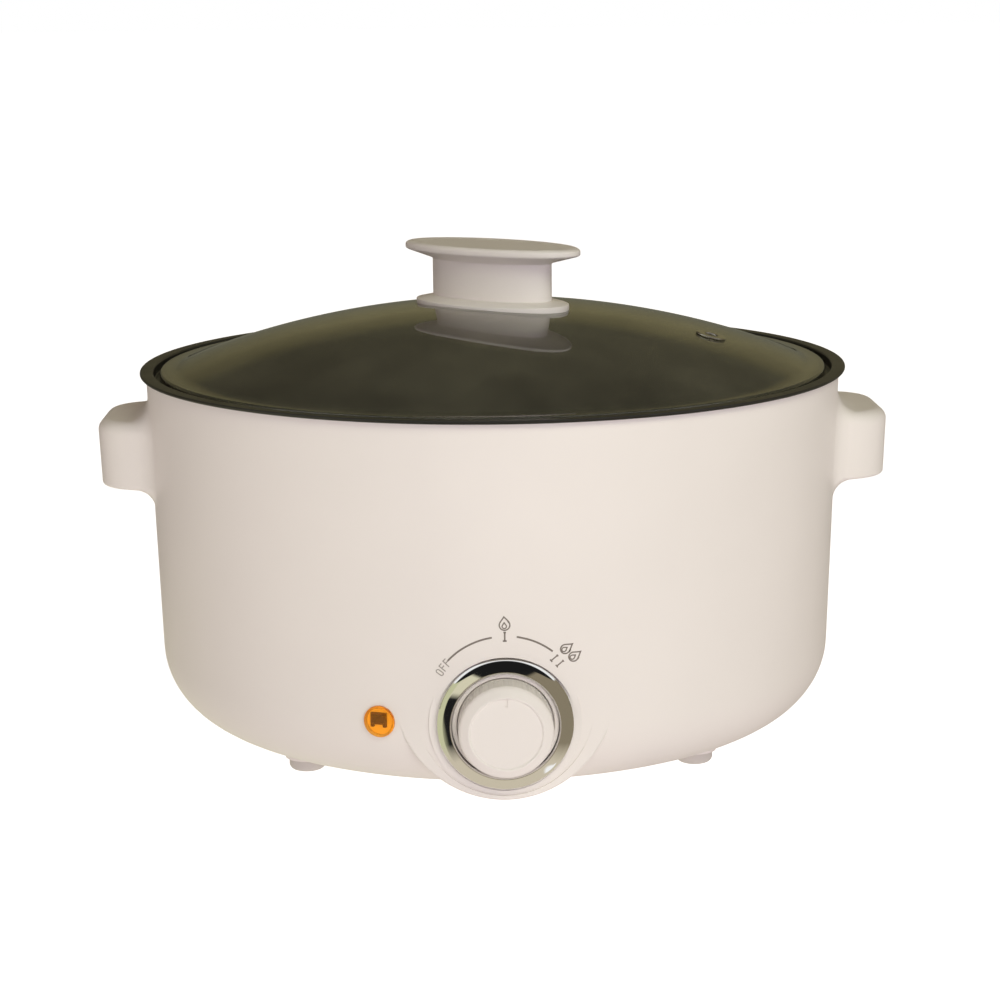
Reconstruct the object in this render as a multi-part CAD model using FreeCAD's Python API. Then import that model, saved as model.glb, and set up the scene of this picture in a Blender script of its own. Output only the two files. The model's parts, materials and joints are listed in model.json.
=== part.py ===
# Electric hot pot with a lift-off glass lid. Millimetres, +Z up.
# The origin is on the drum's axis, level with the undersides of the feet. The dial faces -Y,
# the two ears point along X and the mains inlet is at +Y.
import FreeCAD
import Part
import math
import os

V = FreeCAD.Vector
ORIGIN = V(0, 0, 0)
X_AXIS = V(1, 0, 0)
Z_AXIS = V(0, 0, 1)

# ---- Pan: drawn aluminium, with a flat flange, a ledge for the lid and a round bowl -------------
RIM_RADIUS = 150.0           # outer edge of the flange
RIM_TOP = 155.0              # top of the flange above the table
RIM_WIDTH = 5.7              # flat ring of the flange
SHEET = 1.3                  # thickness of the drawn sheet
LEDGE_DROP = 4.0             # from the flange down to the ledge
LEDGE_WIDTH = 7.5
FLOOR_HEIGHT = 62.0          # the bowl's floor above the table
PAN_TAPER = 4.5              # the wall comes in by this much on its way down
PAN_CORNER = 24.0            # inside radius between wall and floor
SHEET_BEND = 0.8             # inside radius of the small bends

# ---- Housing: one moulded drum with two ears, a dial seat and an inlet turret -------------------
FOOT_HEIGHT = 6.0            # underside of the drum above the table
WALL = 2.6
RIM_OVERHANG = 2.6           # the pan's flange past the drum
DRUM_TAPER = 4.0             # the drum is this much narrower at its foot
DRUM_CORNER = 31.0           # outside radius between wall and bottom
SEAL_THICKNESS = 1.0
SEAT_THICKNESS = 2.2         # inward shelf that carries the seal and the pan
PAN_CLEARANCE = 1.5          # between the shelf and the pan's wall
SIDE_FIT = 0.25              # between the pan's step and the housing

EAR_LENGTH = 20.6            # how far an ear stands out past the drum's top edge
EAR_DRAFT = 1.0              # the ear is this much shorter at its underside
EAR_HALF_WIDTH = 32.0
EAR_DROP = 19.7              # from the pan's flange down to the ear's top
EAR_HEIGHT = 28.5
EAR_CORNER = 20.0            # rounding of the ear seen from above
EAR_TOP_ROUND = 5.0
EAR_BOTTOM_ROUND = 1.5
EAR_BLEND = 9.0              # hollow rounding between ear and drum
EAR_WALL = 4.0
EAR_POCKET_LENGTH = 42.0
EAR_POCKET_WIDTH = 11.0
EAR_POCKET_DEPTH = 22.0

COVER_MARGIN = 13.4          # flat rim of the drum's bottom outside the cover plate
COVER_THICKNESS = 2.0
COVER_GAP = 0.4
FLANGE_WIDTH = 13.0          # how far the flange for the cover reaches in under its edge
BOSS_INSET = 6.5             # the screws' ring inside the cover's edge
BOSS_RADIUS = 4.5
COVER_BOSS_HEIGHT = 10.0
SCREW_RADIUS = 1.45          # self-tapping screws
PILOT_RADIUS = 1.5
PASSING_RADIUS = 2.0
SCREW_HEAD_RADIUS = 3.2
SCREW_HEAD_HEIGHT = 1.9
SCREW_HEAD_ROUND = 0.8
SCREW_CROSS = 0.7            # width of the cross slot in its head
SCREW_LENGTH = 12.0
VENT_SLOT = 3.0
VENT_LENGTH = 18.0
INNER_VENTS = 10             # slots in the inner ring
OUTER_VENTS = 18
INNER_VENT_RADIUS = 34.0
OUTER_VENT_RADIUS = 62.0

FOOT_OUTSET = 13.0           # the feet's ring outside the cover's edge
FOOT_RADIUS = 7.5
FOOT_ROUND = 3.6
FOOT_BOSS_RADIUS = 9.0
FOOT_BOSS_DROP = 0.8         # the boss stands this much below the drum's bottom
FOOT_STEM = 3.0
FOOT_BARB = 3.8
STEM_GAP = 0.1

# ---- Dial, bezel and lamp on the front ----------------------------------------------------------
DIAL_HEIGHT = 37.0           # the dial's axis above the table
SEAT_RECESS = 5.4            # flat seat of the bezel, in from the drum's top edge
DIAL_SEAT_THICKNESS = 4.0
BEZEL_RADIUS = 26.4
BEZEL_INNER = 20.6
BEZEL_HEIGHT = 5.0
BEZEL_EDGE = 2.3             # height of its straight outer edge
BEZEL_SHOULDER = 3.6         # height and inset of the middle of its rounded slope
BEZEL_SHOULDER_INSET = 1.0
BEZEL_SLOPE_ROUND = 4.0
BEZEL_CREST = 21.8
BEZEL_LIP_HEIGHT = 4.2
BEZEL_GAP = 0.2
COLLAR_INNER = 18.6
COLLAR_HEIGHT = 3.0
COLLAR_ROUND = 0.4
DIAL_RADIUS = 18.2
DIAL_HEIGHT_OUT = 15.0       # from the seat to the dial's face
DIAL_LIFT = 1.0              # gap behind the dial
DIAL_SKIRT = 3.6             # height of the straight skirt
DIAL_TOP_RADIUS = 18.1
DIAL_SHOULDER_ROUND = 2.4
DIAL_FACE_RADIUS = 14.2
DIAL_DISH = 0.7
DIAL_WALL = 1.6
DIAL_HUB_RADIUS = 5.2
DIAL_FLUTES = 60
FLUTE_RADIUS = 0.8
FLUTE_DEPTH = 0.15
LIP_RADIUS = 43.2            # round visor below the dial, its rim
LIP_RISE = 12.8              # its centre above the dial's axis
LIP_STEP_RADIUS = 34.2       # shallow step in the visor's face
LIP_STEP_RISE = 5.8
LIP_ROUND = 1.2

CASE_WIDTH = 38.0            # rotary switch behind the seat
CASE_HEIGHT = 30.0
CASE_DEPTH = 20.0
CASE_FRONT = 3.0
CASE_CAVITY = 8.8
CASE_LID = 2.0
NOSE_RADIUS = 4.9
NOSE_LENGTH = 4.6
NOSE_GAP = 0.3
SHAFT_RADIUS = 3.0
SHAFT_GAP = 0.08
SHAFT_FLAT = 2.2             # distance of the flat from the shaft's axis
SHAFT_OUT = 10.0             # shaft past the seat
CAM_RADIUS = 7.8
CAM_THICKNESS = 9.0
SWITCH_SCREW_X = 12.5
SWITCH_TAB_DROP = 4.0
SWITCH_TAB_PITCH = 9.0
SWITCH_TABS = 4

TAB_WIDTH = 6.3              # flat push-on terminals and their sleeves
TAB_THICKNESS = 0.8
TAB_LENGTH = 8.0
SLEEVE_WIDTH = 8.2
SLEEVE_THICKNESS = 3.4
SLEEVE_LENGTH = 13.0
SLEEVE_OVERLAP = 7.0
WIRE_RADIUS = 1.3
LAMP_WIRE_RADIUS = 0.8
LAMP_WIRE_GAP = 0.5          # between a lamp wire and the wire in the same sleeve
BEND_SHARE = 0.45            # part of a run that a bend may take
LEAD_OUT = 16.0              # straight stretch out of a sleeve
RUN_HEIGHT = 22.0            # where the wires cross the bottom of the drum
LOW_RUN = 12.5               # where they pass under the element's tails
RUN_BOW = 2.0
SIDE_RUN = 30.0              # how far the mains wires keep to each side
FUSE_RADIUS = 2.2
FUSE_LENGTH = 16.0
EARTH_INSET = 4.0            # the earth screw inside the heater plate's edge
EARTH_TAG_RADIUS = 4.5
EARTH_TAG = 0.8
EARTH_BARREL = 6.0
EARTH_BARREL_RADIUS = 1.8
EARTH_BARREL_DROP = 2.0

LAMP_AZIMUTH = -19.4         # degrees from the front, seen from above
LAMP_HEIGHT = 36.8
LENS_RADIUS = 6.2
LENS_PROUD = 1.2
LENS_ROUND = 0.5
LENS_BODY = 5.4
LENS_TAIL = 1.2              # lens past its clip
LENS_WALL = 1.0
LAMP_HOLE = 5.6
LAMP_CLIP_RADIUS = 7.8
LAMP_CLIP_THICKNESS = 0.8
LAMP_CLIP_GAP = 0.2          # between the clip's lowest point and the drum's rounded foot
SHADE_SIDE = 6.2             # square shade round the neon bulb
SHADE_WALL = 0.6
SHADE_LENGTH = 12.0
SHADE_GAP = 0.3              # between the shade's front and the lens
PLUG_FLOOR = 3.0             # plug behind the shade
PLUG_RECESS = 1.2            # the plug's face behind the shade's front
BULB_RADIUS = 2.0
BULB_LENGTH = 9.0

# ---- Heater under the pan -----------------------------------------------------------------------
STUD_INSET = 4.5             # the studs' ring inside the bosses' ring
PLATE_INSET = 8.0            # the plate's edge inside the studs' ring
PLATE_THICKNESS = 5.0
ELEMENT_INSET = 22.0         # the element's ring inside the plate's edge
ELEMENT_RADIUS = 4.0
ELEMENT_GAP = 0.1
ELEMENT_SPLIT = 15.0         # half the angle between the element's ends, degrees
ELEMENT_TAIL = 19.7
SHIELD_DROP = 20.7           # from the pan's underside down to the heat shield's
SHIELD_EDGE = 1.0            # the shield past its screw bosses
SHIELD_SHEET = 1.0
SHIELD_RIM = 9.0
TAIL_HOLE = 7.0
STUD_RADIUS = 2.0
STUD_HOLE = 2.3
STUD_PAD = 5.0
STUD_PAD_THICKNESS = 1.0
STUD_BELOW = 8.0             # stud past the shield
SPACER_RADIUS = 3.4
NUT_WIDTH = 7.0
NUT_HEIGHT = 3.2
WASHER_RADIUS = 4.5
WASHER_THICKNESS = 0.8
THERMOSTAT_RADIUS = 8.5
THERMOSTAT_HEIGHT = 10.0
THERMOSTAT_EAR = 12.0        # half the distance between its screws
THERMOSTAT_FLANGE_WIDTH = 9.0
THERMOSTAT_FLANGE_END = 4.0  # flange past each screw
THERMOSTAT_FLANGE = 1.0
THERMOSTAT_SCREW = 4.0
THERMOSTAT_TAB_X = 5.5
THERMOSTAT_OPENING = 12.5

# ---- Mains inlet at the back --------------------------------------------------------------------
INLET_HEIGHT = 32.0
INLET_PROUD = 6.6            # face of the turret past the drum's top edge
TURRET_WIDTH = 58.0
TURRET_HEIGHT = 34.0
TURRET_CORNER = 8.0
TURRET_ROUND = 2.0
INLET_FLANGE_WIDTH = 50.0
INLET_FLANGE_HEIGHT = 25.0
INLET_FLANGE = 2.0
INLET_BODY_WIDTH = 27.4
INLET_BODY_HEIGHT = 19.8
INLET_DEPTH = 20.0           # body behind the turret's face
INLET_SOCKET_WIDTH = 24.4
INLET_SOCKET_HEIGHT = 16.8
INLET_SOCKET_DEPTH = 18.0
INLET_SOCKET_CHAMFER = 4.0
INLET_GAP = 0.3
PIN_PITCH = 7.0
PIN_DROP = 2.0
EARTH_PIN_RISE = 3.0
PIN_WIDTH = 4.0
PIN_THICKNESS = 2.0
PIN_LENGTH = 12.0
INLET_SCREW_X = 20.0
INLET_SCREW_LENGTH = 9.0
INLET_BOSS_LENGTH = 8.0

# ---- Lid: glass, vent eyelet and an oval knob ---------------------------------------------------
LID_GAP = 2.6                # between the lid's edge and the step of the pan
LID_GLASS = 4.0
LID_EDGE_ROUND = 1.2
DOME_RISE = 25.6             # crown above the lid's flange
LID_BAND = 5.7               # flat flange of the lid outside the dome
SCREW_HOLE = 4.5             # hole in the crown for the knob's screw
VENT_RADIUS = 95.0           # the eyelet's distance from the crown
VENT_AZIMUTH = -17.5
VENT_HOLE = 4.2
EYELET_RADIUS = 6.4
EYELET_TUBE = 4.0
EYELET_BORE = 2.6
EYELET_FLANGE = 0.9
KNOB_TURN = -40.6            # the knob's long axis from +X, degrees
KNOB_HEIGHT = 24.8           # from the crown to the knob's top
KNOB_HALF_LENGTH = 44.9
KNOB_HALF_WIDTH = 20.7
KNOB_RIM = 3.3               # thickness of the paddle's edge
KNOB_SLOPE = 3.6             # height of the paddle's sloping underside
KNOB_TOP_ROUND = 1.7
KNOB_BOTTOM_ROUND = 1.2
KNOB_DISH = 0.3              # the top is this much lower inside its rounded edge
NECK_HALF_WIDTH = 14.1
NECK_WALL = 2.4
KNOB_PLATE = 4.0             # solid part of the knob above the neck's hollow
KNOB_BOSS = 6.5
BASE_HALF_WIDTH = 18.1
BASE_TOP_RISE = 2.0          # top of the knob's base above the crown
BASE_ROUND = 0.8
BASE_GASKET = 0.8
INSERT_RADIUS = 3.8
INSERT_LENGTH = 10.0
KNOB_SCREW_RADIUS = 2.5
KNOB_SCREW_HOLE = 2.6
KNOB_SCREW_HEAD = 4.8
KNOB_SCREW_HEAD_HEIGHT = 3.0
KNOB_SCREW_CROSS = 5.5       # cross slot in its head
CROSS_WIDTH = 0.9
KNOB_WASHER_RADIUS = 9.5
KNOB_WASHER = 1.2
LOWER_GASKET_RADIUS = 11.0
LOWER_GASKET = 1.8

# ---- Worked out from the sizes above ------------------------------------------------------------
LEDGE_TOP = RIM_TOP - LEDGE_DROP
PAN_DEPTH = LEDGE_TOP - FLOOR_HEIGHT
LEDGE_BOTTOM = LEDGE_TOP - SHEET
FLANGE_BOTTOM = RIM_TOP - SHEET
STEP_RADIUS = RIM_RADIUS - RIM_WIDTH
MOUTH_RADIUS = STEP_RADIUS - LEDGE_WIDTH
FLOOR_RADIUS = MOUTH_RADIUS - PAN_TAPER
PAN_BOTTOM = FLOOR_HEIGHT - SHEET

DRUM_TOP_RADIUS = RIM_RADIUS - RIM_OVERHANG
DRUM_FOOT_RADIUS = DRUM_TOP_RADIUS - DRUM_TAPER
DRUM_TOP = FLANGE_BOTTOM
SEAT_TOP = LEDGE_BOTTOM - SEAL_THICKNESS
SEAT_BOTTOM = SEAT_TOP - SEAT_THICKNESS
SEAT_INNER = MOUTH_RADIUS + SHEET + PAN_CLEARANCE
REBATE_RADIUS = STEP_RADIUS + SHEET + SIDE_FIT
CORNER_TOP = FOOT_HEIGHT + DRUM_CORNER
INNER_FLOOR = FOOT_HEIGHT + WALL
FLANGE_UNDERSIDE = FOOT_HEIGHT + COVER_THICKNESS
FLANGE_TOP = FLANGE_UNDERSIDE + WALL
FOOT_TOP = FOOT_HEIGHT - FOOT_BOSS_DROP

SHADE_BACK = -SHADE_GAP - SHADE_LENGTH       # measured in from the lamp's skin
PLUG_FRONT = -SHADE_GAP - PLUG_RECESS

EAR_REACH = DRUM_TOP_RADIUS + EAR_LENGTH
EAR_TOP = RIM_TOP - EAR_DROP
EAR_UNDERSIDE = EAR_TOP - EAR_HEIGHT
COVER_RADIUS = DRUM_FOOT_RADIUS - DRUM_CORNER - COVER_MARGIN
FLANGE_OPENING = COVER_RADIUS - FLANGE_WIDTH
BOSS_RING = COVER_RADIUS - BOSS_INSET
FOOT_RING = COVER_RADIUS + FOOT_OUTSET
SEAT_REACH = DRUM_TOP_RADIUS - SEAT_RECESS
LIP_CENTRE = DIAL_HEIGHT + LIP_RISE
LIP_STEP_CENTRE = DIAL_HEIGHT + LIP_STEP_RISE
INLET_REACH = DRUM_TOP_RADIUS + INLET_PROUD

CASE_BACK = DIAL_SEAT_THICKNESS + CASE_DEPTH           # depth behind the seat's face
SWITCH_LID_BACK = CASE_BACK + CASE_LID
SWITCH_SLEEVE_Y = -(SEAT_REACH - SWITCH_LID_BACK - TAB_LENGTH + SLEEVE_OVERLAP - SLEEVE_LENGTH)

STUD_RING = BOSS_RING - STUD_INSET
PLATE_RADIUS = STUD_RING - PLATE_INSET
PLATE_BOTTOM = PAN_BOTTOM - PLATE_THICKNESS
ELEMENT_RING = PLATE_RADIUS - ELEMENT_INSET
SHIELD_HEIGHT = PAN_BOTTOM - SHIELD_DROP
SHIELD_RADIUS = BOSS_RING + BOSS_RADIUS + SHIELD_EDGE
TAIL_BOTTOM = PLATE_BOTTOM - ELEMENT_TAIL
SHIELD_TOP = SHIELD_HEIGHT + SHIELD_SHEET
THERMOSTAT_BOTTOM = PLATE_BOTTOM - THERMOSTAT_HEIGHT
INLET_SLEEVE_Y = INLET_REACH - INLET_DEPTH - TAB_LENGTH + SLEEVE_OVERLAP - SLEEVE_LENGTH

LID_RADIUS = STEP_RADIUS - LID_GAP
LID_BOTTOM = LEDGE_TOP
DOME_FOOT = LID_RADIUS - LID_BAND
LID_FLANGE_TOP = LID_BOTTOM + LID_GLASS
CROWN = LID_FLANGE_TOP + DOME_RISE
DOME_RADIUS = (DOME_FOOT ** 2 + DOME_RISE ** 2) / (2 * DOME_RISE)
DOME_CENTRE = CROWN - DOME_RADIUS
CROWN_INSIDE = CROWN - LID_GLASS
BASE_TOP = CROWN + BASE_TOP_RISE
KNOB_TOP = CROWN + KNOB_HEIGHT
PADDLE_BOTTOM = KNOB_TOP - KNOB_RIM
NECK_TOP = PADDLE_BOTTOM - KNOB_SLOPE
KNOB_STRETCH = KNOB_HALF_LENGTH / KNOB_HALF_WIDTH
HOLLOW_TOP = KNOB_TOP - KNOB_PLATE - BASE_TOP_RISE

SEAM_TURN = 60.0             # where the drum's seam line lies, clear of ears, dial and inlet
REACH_PAST = 1.0             # how far a cutter runs past the face that it opens
TINY = 1e-6


# ---- Outlines -----------------------------------------------------------------------------------
def in_xz(u, v):
    """Point of an outline that is turned about the Z axis."""
    return V(u, 0, v)


def in_xy(u, v):
    """Point of an outline seen from above."""
    return V(u, v, 0)


def rounded_corner(before, here, after, radius):
    """Start, middle and end of the arc that rounds the corner at here."""
    back = (before - here).normalize()
    ahead = (after - here).normalize()
    half_angle = back.getAngle(ahead) / 2
    reach = radius / math.tan(half_angle)
    bisector = (back + ahead).normalize()
    centre = here + bisector * (radius / math.sin(half_angle))
    return here + back * reach, centre - bisector * radius, here + ahead * reach


def line_to(edges, start, end):
    """Add a straight edge unless the two points are the same."""
    if (end - start).Length > TINY:
        edges.append(Part.LineSegment(start, end).toShape())


def outline(points, plane=in_xz):
    """Closed wire through corners given as (u, v) or (u, v, rounding radius)."""
    corners = [plane(point[0], point[1]) for point in points]
    radii = [point[2] if len(point) > 2 else 0 for point in points]
    count = len(points)
    arcs = []
    for index in range(count):
        here = corners[index]
        arc = (here, None, here)
        if radii[index] > 0:
            arc = rounded_corner(corners[index - 1], here, corners[(index + 1) % count], radii[index])
        arcs.append(arc)
    edges = []
    for index in range(count):
        start, middle, end = arcs[index]
        if middle is not None:
            edges.append(Part.Arc(start, middle, end).toShape())
        line_to(edges, end, arcs[(index + 1) % count][0])
    return Part.Wire(edges)


def turned(points):
    """Solid turned about the Z axis from an outline in the XZ plane."""
    solid = Part.Face(outline(points)).revolve(ORIGIN, Z_AXIS, 360)
    solid.rotate(ORIGIN, Z_AXIS, SEAM_TURN)
    return solid


def prism(points, bottom, height):
    """Straight prism on an outline seen from above."""
    solid = Part.Face(outline(points, in_xy)).extrude(V(0, 0, height))
    solid.translate(V(0, 0, bottom))
    return solid


def rounded_rectangle(width, height, corner):
    """Corners of a rectangle centred on the origin."""
    u, v = width / 2, height / 2
    return [(-u, -v, corner), (u, -v, corner), (u, v, corner), (-u, v, corner)]


def block(x, y, z, width, depth, height):
    """Box centred on x and y, with its bottom at z."""
    return Part.makeBox(width, depth, height, V(x - width / 2, y - depth / 2, z))


def rod(x, y, bottom, radius, height):
    """Upright cylinder."""
    return Part.makeCylinder(radius, height, V(x, y, bottom))


def tube(x, y, bottom, radius, bore, height):
    """Upright tube."""
    return rod(x, y, bottom, radius, height).cut(rod(x, y, bottom, bore, height))


def around(radius, angles):
    """Points on a circle about the Z axis, as (x, y)."""
    return [(radius * math.cos(math.radians(a)), radius * math.sin(math.radians(a))) for a in angles]


def oval(half_width, bottom, height):
    """Upright oval prism in the knob's proportions, its long axis along X."""
    ellipse = Part.Ellipse(V(0, 0, bottom), half_width * KNOB_STRETCH, half_width).toShape()
    return Part.Face(Part.Wire([ellipse])).extrude(V(0, 0, height))


def stand_out(shape, azimuth, reach, height):
    """Place a shape modelled along +Z, +Y up, so that it points out from the drum's axis.

    An azimuth of 0 is the front, and z = 0 of the shape comes to lie at the given reach.
    """
    placed = shape.copy()
    placed.rotate(ORIGIN, X_AXIS, 90)
    placed.translate(V(0, -reach, height))
    placed.rotate(ORIGIN, Z_AXIS, azimuth)
    return placed


def fused(shapes):
    """One solid from several that touch or overlap."""
    return shapes[0].multiFuse(shapes[1:]).removeSplitter()


def group(shapes):
    """Separate solids that share one node."""
    return Part.makeCompound(shapes)


def drum_radius(height):
    """Outer radius of the drum's straight wall at a height."""
    return DRUM_TOP_RADIUS - DRUM_TAPER * (DRUM_TOP - height) / (DRUM_TOP - FOOT_HEIGHT)


def inner_radius(height):
    """Inner radius of the drum at a height, with its rounded foot."""
    corner = DRUM_CORNER - WALL
    below = max(0.0, CORNER_TOP - height)
    return drum_radius(height) - WALL - corner + math.sqrt(corner ** 2 - below ** 2)


# ---- Housing ------------------------------------------------------------------------------------
def ear_outline(reach, height):
    """Ear seen from above, from inside the drum's wall to its reach."""
    root = drum_radius(EAR_UNDERSIDE) - EAR_CORNER
    corners = [(root, -EAR_HALF_WIDTH), (reach, -EAR_HALF_WIDTH, EAR_CORNER),
               (reach, EAR_HALF_WIDTH, EAR_CORNER), (root, EAR_HALF_WIDTH)]
    wire = outline(corners, in_xy)
    wire.translate(V(0, 0, height))
    return wire


def ear():
    """Solid ear at +X, rounded all round at its top and bottom faces."""
    sections = [ear_outline(EAR_REACH - EAR_DRAFT, EAR_UNDERSIDE), ear_outline(EAR_REACH, EAR_TOP)]
    solid = Part.makeLoft(sections, True, True)
    for height, radius in ((EAR_TOP, EAR_TOP_ROUND), (EAR_UNDERSIDE, EAR_BOTTOM_ROUND)):
        rim = [edge for edge in solid.Edges
               if abs(edge.BoundBox.ZMin - height) < 0.01
               and edge.BoundBox.ZLength < 0.01
               and edge.BoundBox.XMax > drum_radius(height) - EAR_CORNER + 1]
        solid = solid.makeFillet(radius, rim)
    return solid


def lies_on_drum(edge):
    """True where an edge runs along the drum's straight wall."""
    first, last = edge.FirstParameter, edge.LastParameter
    for share in (0.1, 0.5, 0.9):
        point = edge.valueAt(first + share * (last - first))
        if abs(math.hypot(point.x, point.y) - drum_radius(point.z)) > 0.2:
            return False
    return True


def blend_ears(body):
    """Hollow rounding where the ears' sides and undersides meet the drum."""
    highest = EAR_TOP - EAR_TOP_ROUND
    joints = [edge for edge in body.Edges
              if edge.BoundBox.ZMin > EAR_UNDERSIDE - 1
              and edge.BoundBox.ZMax < DRUM_TOP - 1
              and edge.BoundBox.ZMin < highest - TINY
              and lies_on_drum(edge)]
    return body.makeFillet(EAR_BLEND, joints)


def round_from_front(radius, height, depth_from, depth_to):
    """Cylinder along Y in front of the drum's axis, centred at a height."""
    length = depth_to - depth_from
    return stand_out(rod(0, 0, 0, radius, length), 0, depth_from, height)


def visor(shrink):
    """Round lip below the dial; shrink insets it for its hollow."""
    nearest = DRUM_FOOT_RADIUS - DRUM_CORNER
    face = drum_radius(CORNER_TOP) - shrink
    disc = round_from_front(LIP_RADIUS - shrink, LIP_CENTRE, nearest, RIM_RADIUS)
    pillar = rod(0, 0, FOOT_HEIGHT + shrink, face, DRUM_CORNER - shrink)
    return disc.common(pillar)


def rounded_visor():
    """The visor's outside with its front rim rounded and the step in its face."""
    solid = visor(0)
    face = drum_radius(CORNER_TOP)
    rim = []
    for edge in solid.Edges:
        middle = edge.valueAt((edge.FirstParameter + edge.LastParameter) / 2)
        on_face = abs(math.hypot(middle.x, middle.y) - face) < 0.01
        on_disc = abs(math.hypot(middle.x, middle.z - LIP_CENTRE) - LIP_RADIUS) < 0.01
        if on_face and on_disc:
            rim.append(edge)
    solid = solid.makeFillet(LIP_ROUND, rim)
    straight = Part.makeCone(DRUM_FOOT_RADIUS, face, DRUM_CORNER, V(0, 0, FOOT_HEIGHT))
    step = round_from_front(LIP_STEP_RADIUS, LIP_STEP_CENTRE, DRUM_FOOT_RADIUS - DRUM_CORNER, RIM_RADIUS)
    return solid.cut(step.cut(straight))


def drum_outside():
    """Solid drum with its rounded foot."""
    return turned([(0, FOOT_HEIGHT), (DRUM_FOOT_RADIUS, FOOT_HEIGHT, DRUM_CORNER),
                   (DRUM_TOP_RADIUS, DRUM_TOP), (0, DRUM_TOP)])


def drum_hollow():
    """Inside of the drum, with the shelf for the pan's seal and the rebate round its step."""
    under_shelf = drum_radius(SEAT_BOTTOM) - WALL
    return turned([(0, INNER_FLOOR), (DRUM_FOOT_RADIUS - WALL, INNER_FLOOR, DRUM_CORNER - WALL),
                   (under_shelf, SEAT_BOTTOM), (SEAT_INNER, SEAT_BOTTOM), (SEAT_INNER, SEAT_TOP),
                   (REBATE_RADIUS, SEAT_TOP), (REBATE_RADIUS, DRUM_TOP + REACH_PAST),
                   (0, DRUM_TOP + REACH_PAST)])


def turret(shrink, length_past_wall):
    """Block at the back that carries the inlet; shrink insets it for its hollow."""
    start = drum_radius(INLET_HEIGHT) - DRUM_CORNER / 2
    length = INLET_REACH - shrink - start + length_past_wall
    corner = TURRET_CORNER - shrink
    shape = prism(rounded_rectangle(TURRET_WIDTH - 2 * shrink, TURRET_HEIGHT - 2 * shrink, corner),
                  0, length)
    return shape, start


def turret_outside():
    """Turret with its outer rim rounded."""
    shape, start = turret(0, 0)
    rim = [edge for edge in shape.Edges
           if edge.BoundBox.ZLength < 0.01 and edge.BoundBox.ZMin > INLET_REACH - start - 0.01]
    return stand_out(shape.makeFillet(TURRET_ROUND, rim), 180, start, INLET_HEIGHT)


def turret_hollow():
    """Room inside the turret."""
    shape, start = turret(WALL, 0)
    return stand_out(shape, 180, start, INLET_HEIGHT)


def inlet_bosses():
    """Two screw bosses behind the turret's face."""
    bottom = -WALL - INLET_BOSS_LENGTH
    bosses = [rod(side * INLET_SCREW_X, 0, bottom, BOSS_RADIUS, INLET_BOSS_LENGTH + WALL / 2)
              for side in (-1, 1)]
    return [stand_out(boss, 180, INLET_REACH, INLET_HEIGHT) for boss in bosses]


def inlet_cuts():
    """Opening for the inlet's body, and the two screw holes."""
    opening = block(0, 0, -WALL - REACH_PAST, INLET_BODY_WIDTH + 2 * INLET_GAP,
                    INLET_BODY_HEIGHT + 2 * INLET_GAP, WALL + 2 * REACH_PAST)
    holes = [rod(side * INLET_SCREW_X, 0, -INLET_SCREW_LENGTH, PILOT_RADIUS,
                 INLET_SCREW_LENGTH + REACH_PAST) for side in (-1, 1)]
    return [stand_out(shape, 180, INLET_REACH, INLET_HEIGHT) for shape in [opening] + holes]


def dial_seat():
    """Thick round seat behind the bezel, and the collar round the dial."""
    seat = rod(0, 0, -DIAL_SEAT_THICKNESS, BEZEL_RADIUS + BEZEL_GAP + WALL, DIAL_SEAT_THICKNESS)
    rim = BEZEL_INNER - BEZEL_GAP
    collar = turned([(COLLAR_INNER, 0), (rim, 0), (rim, COLLAR_HEIGHT, COLLAR_ROUND),
                     (COLLAR_INNER, COLLAR_HEIGHT, COLLAR_ROUND)])
    return stand_out(seat, 0, SEAT_REACH, DIAL_HEIGHT), stand_out(collar, 0, SEAT_REACH, DIAL_HEIGHT)


def dial_cuts():
    """Hole for the switch's nose, and the sunk holes for the two switch screws."""
    through = DIAL_SEAT_THICKNESS + 2 * REACH_PAST
    cuts = [rod(0, 0, -DIAL_SEAT_THICKNESS - REACH_PAST, NOSE_RADIUS + NOSE_GAP, through)]
    for side in (-1, 1):
        x = side * SWITCH_SCREW_X
        cuts.append(rod(x, 0, -DIAL_SEAT_THICKNESS - REACH_PAST, PASSING_RADIUS, through))
        cuts.append(rod(x, 0, -SCREW_HEAD_HEIGHT, SCREW_HEAD_RADIUS + SIDE_FIT,
                        SCREW_HEAD_HEIGHT + REACH_PAST))
    return [stand_out(cut, 0, SEAT_REACH, DIAL_HEIGHT) for cut in cuts]


LAMP_REACH = drum_radius(LAMP_HEIGHT + LENS_RADIUS)
LAMP_CLIP_DEPTH = LAMP_REACH - inner_radius(LAMP_HEIGHT - LAMP_CLIP_RADIUS) + LAMP_CLIP_GAP
LENS_DEPTH = LAMP_CLIP_DEPTH + LAMP_CLIP_THICKNESS + LENS_TAIL
FOOT_PLACES = around(FOOT_RING, (225, 315, 45, 135))
COVER_SCREW_PLACES = around(BOSS_RING, (0, 90, 180, 270))
SHIELD_SCREW_PLACES = around(BOSS_RING, (45, 135, 225, 315))


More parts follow.
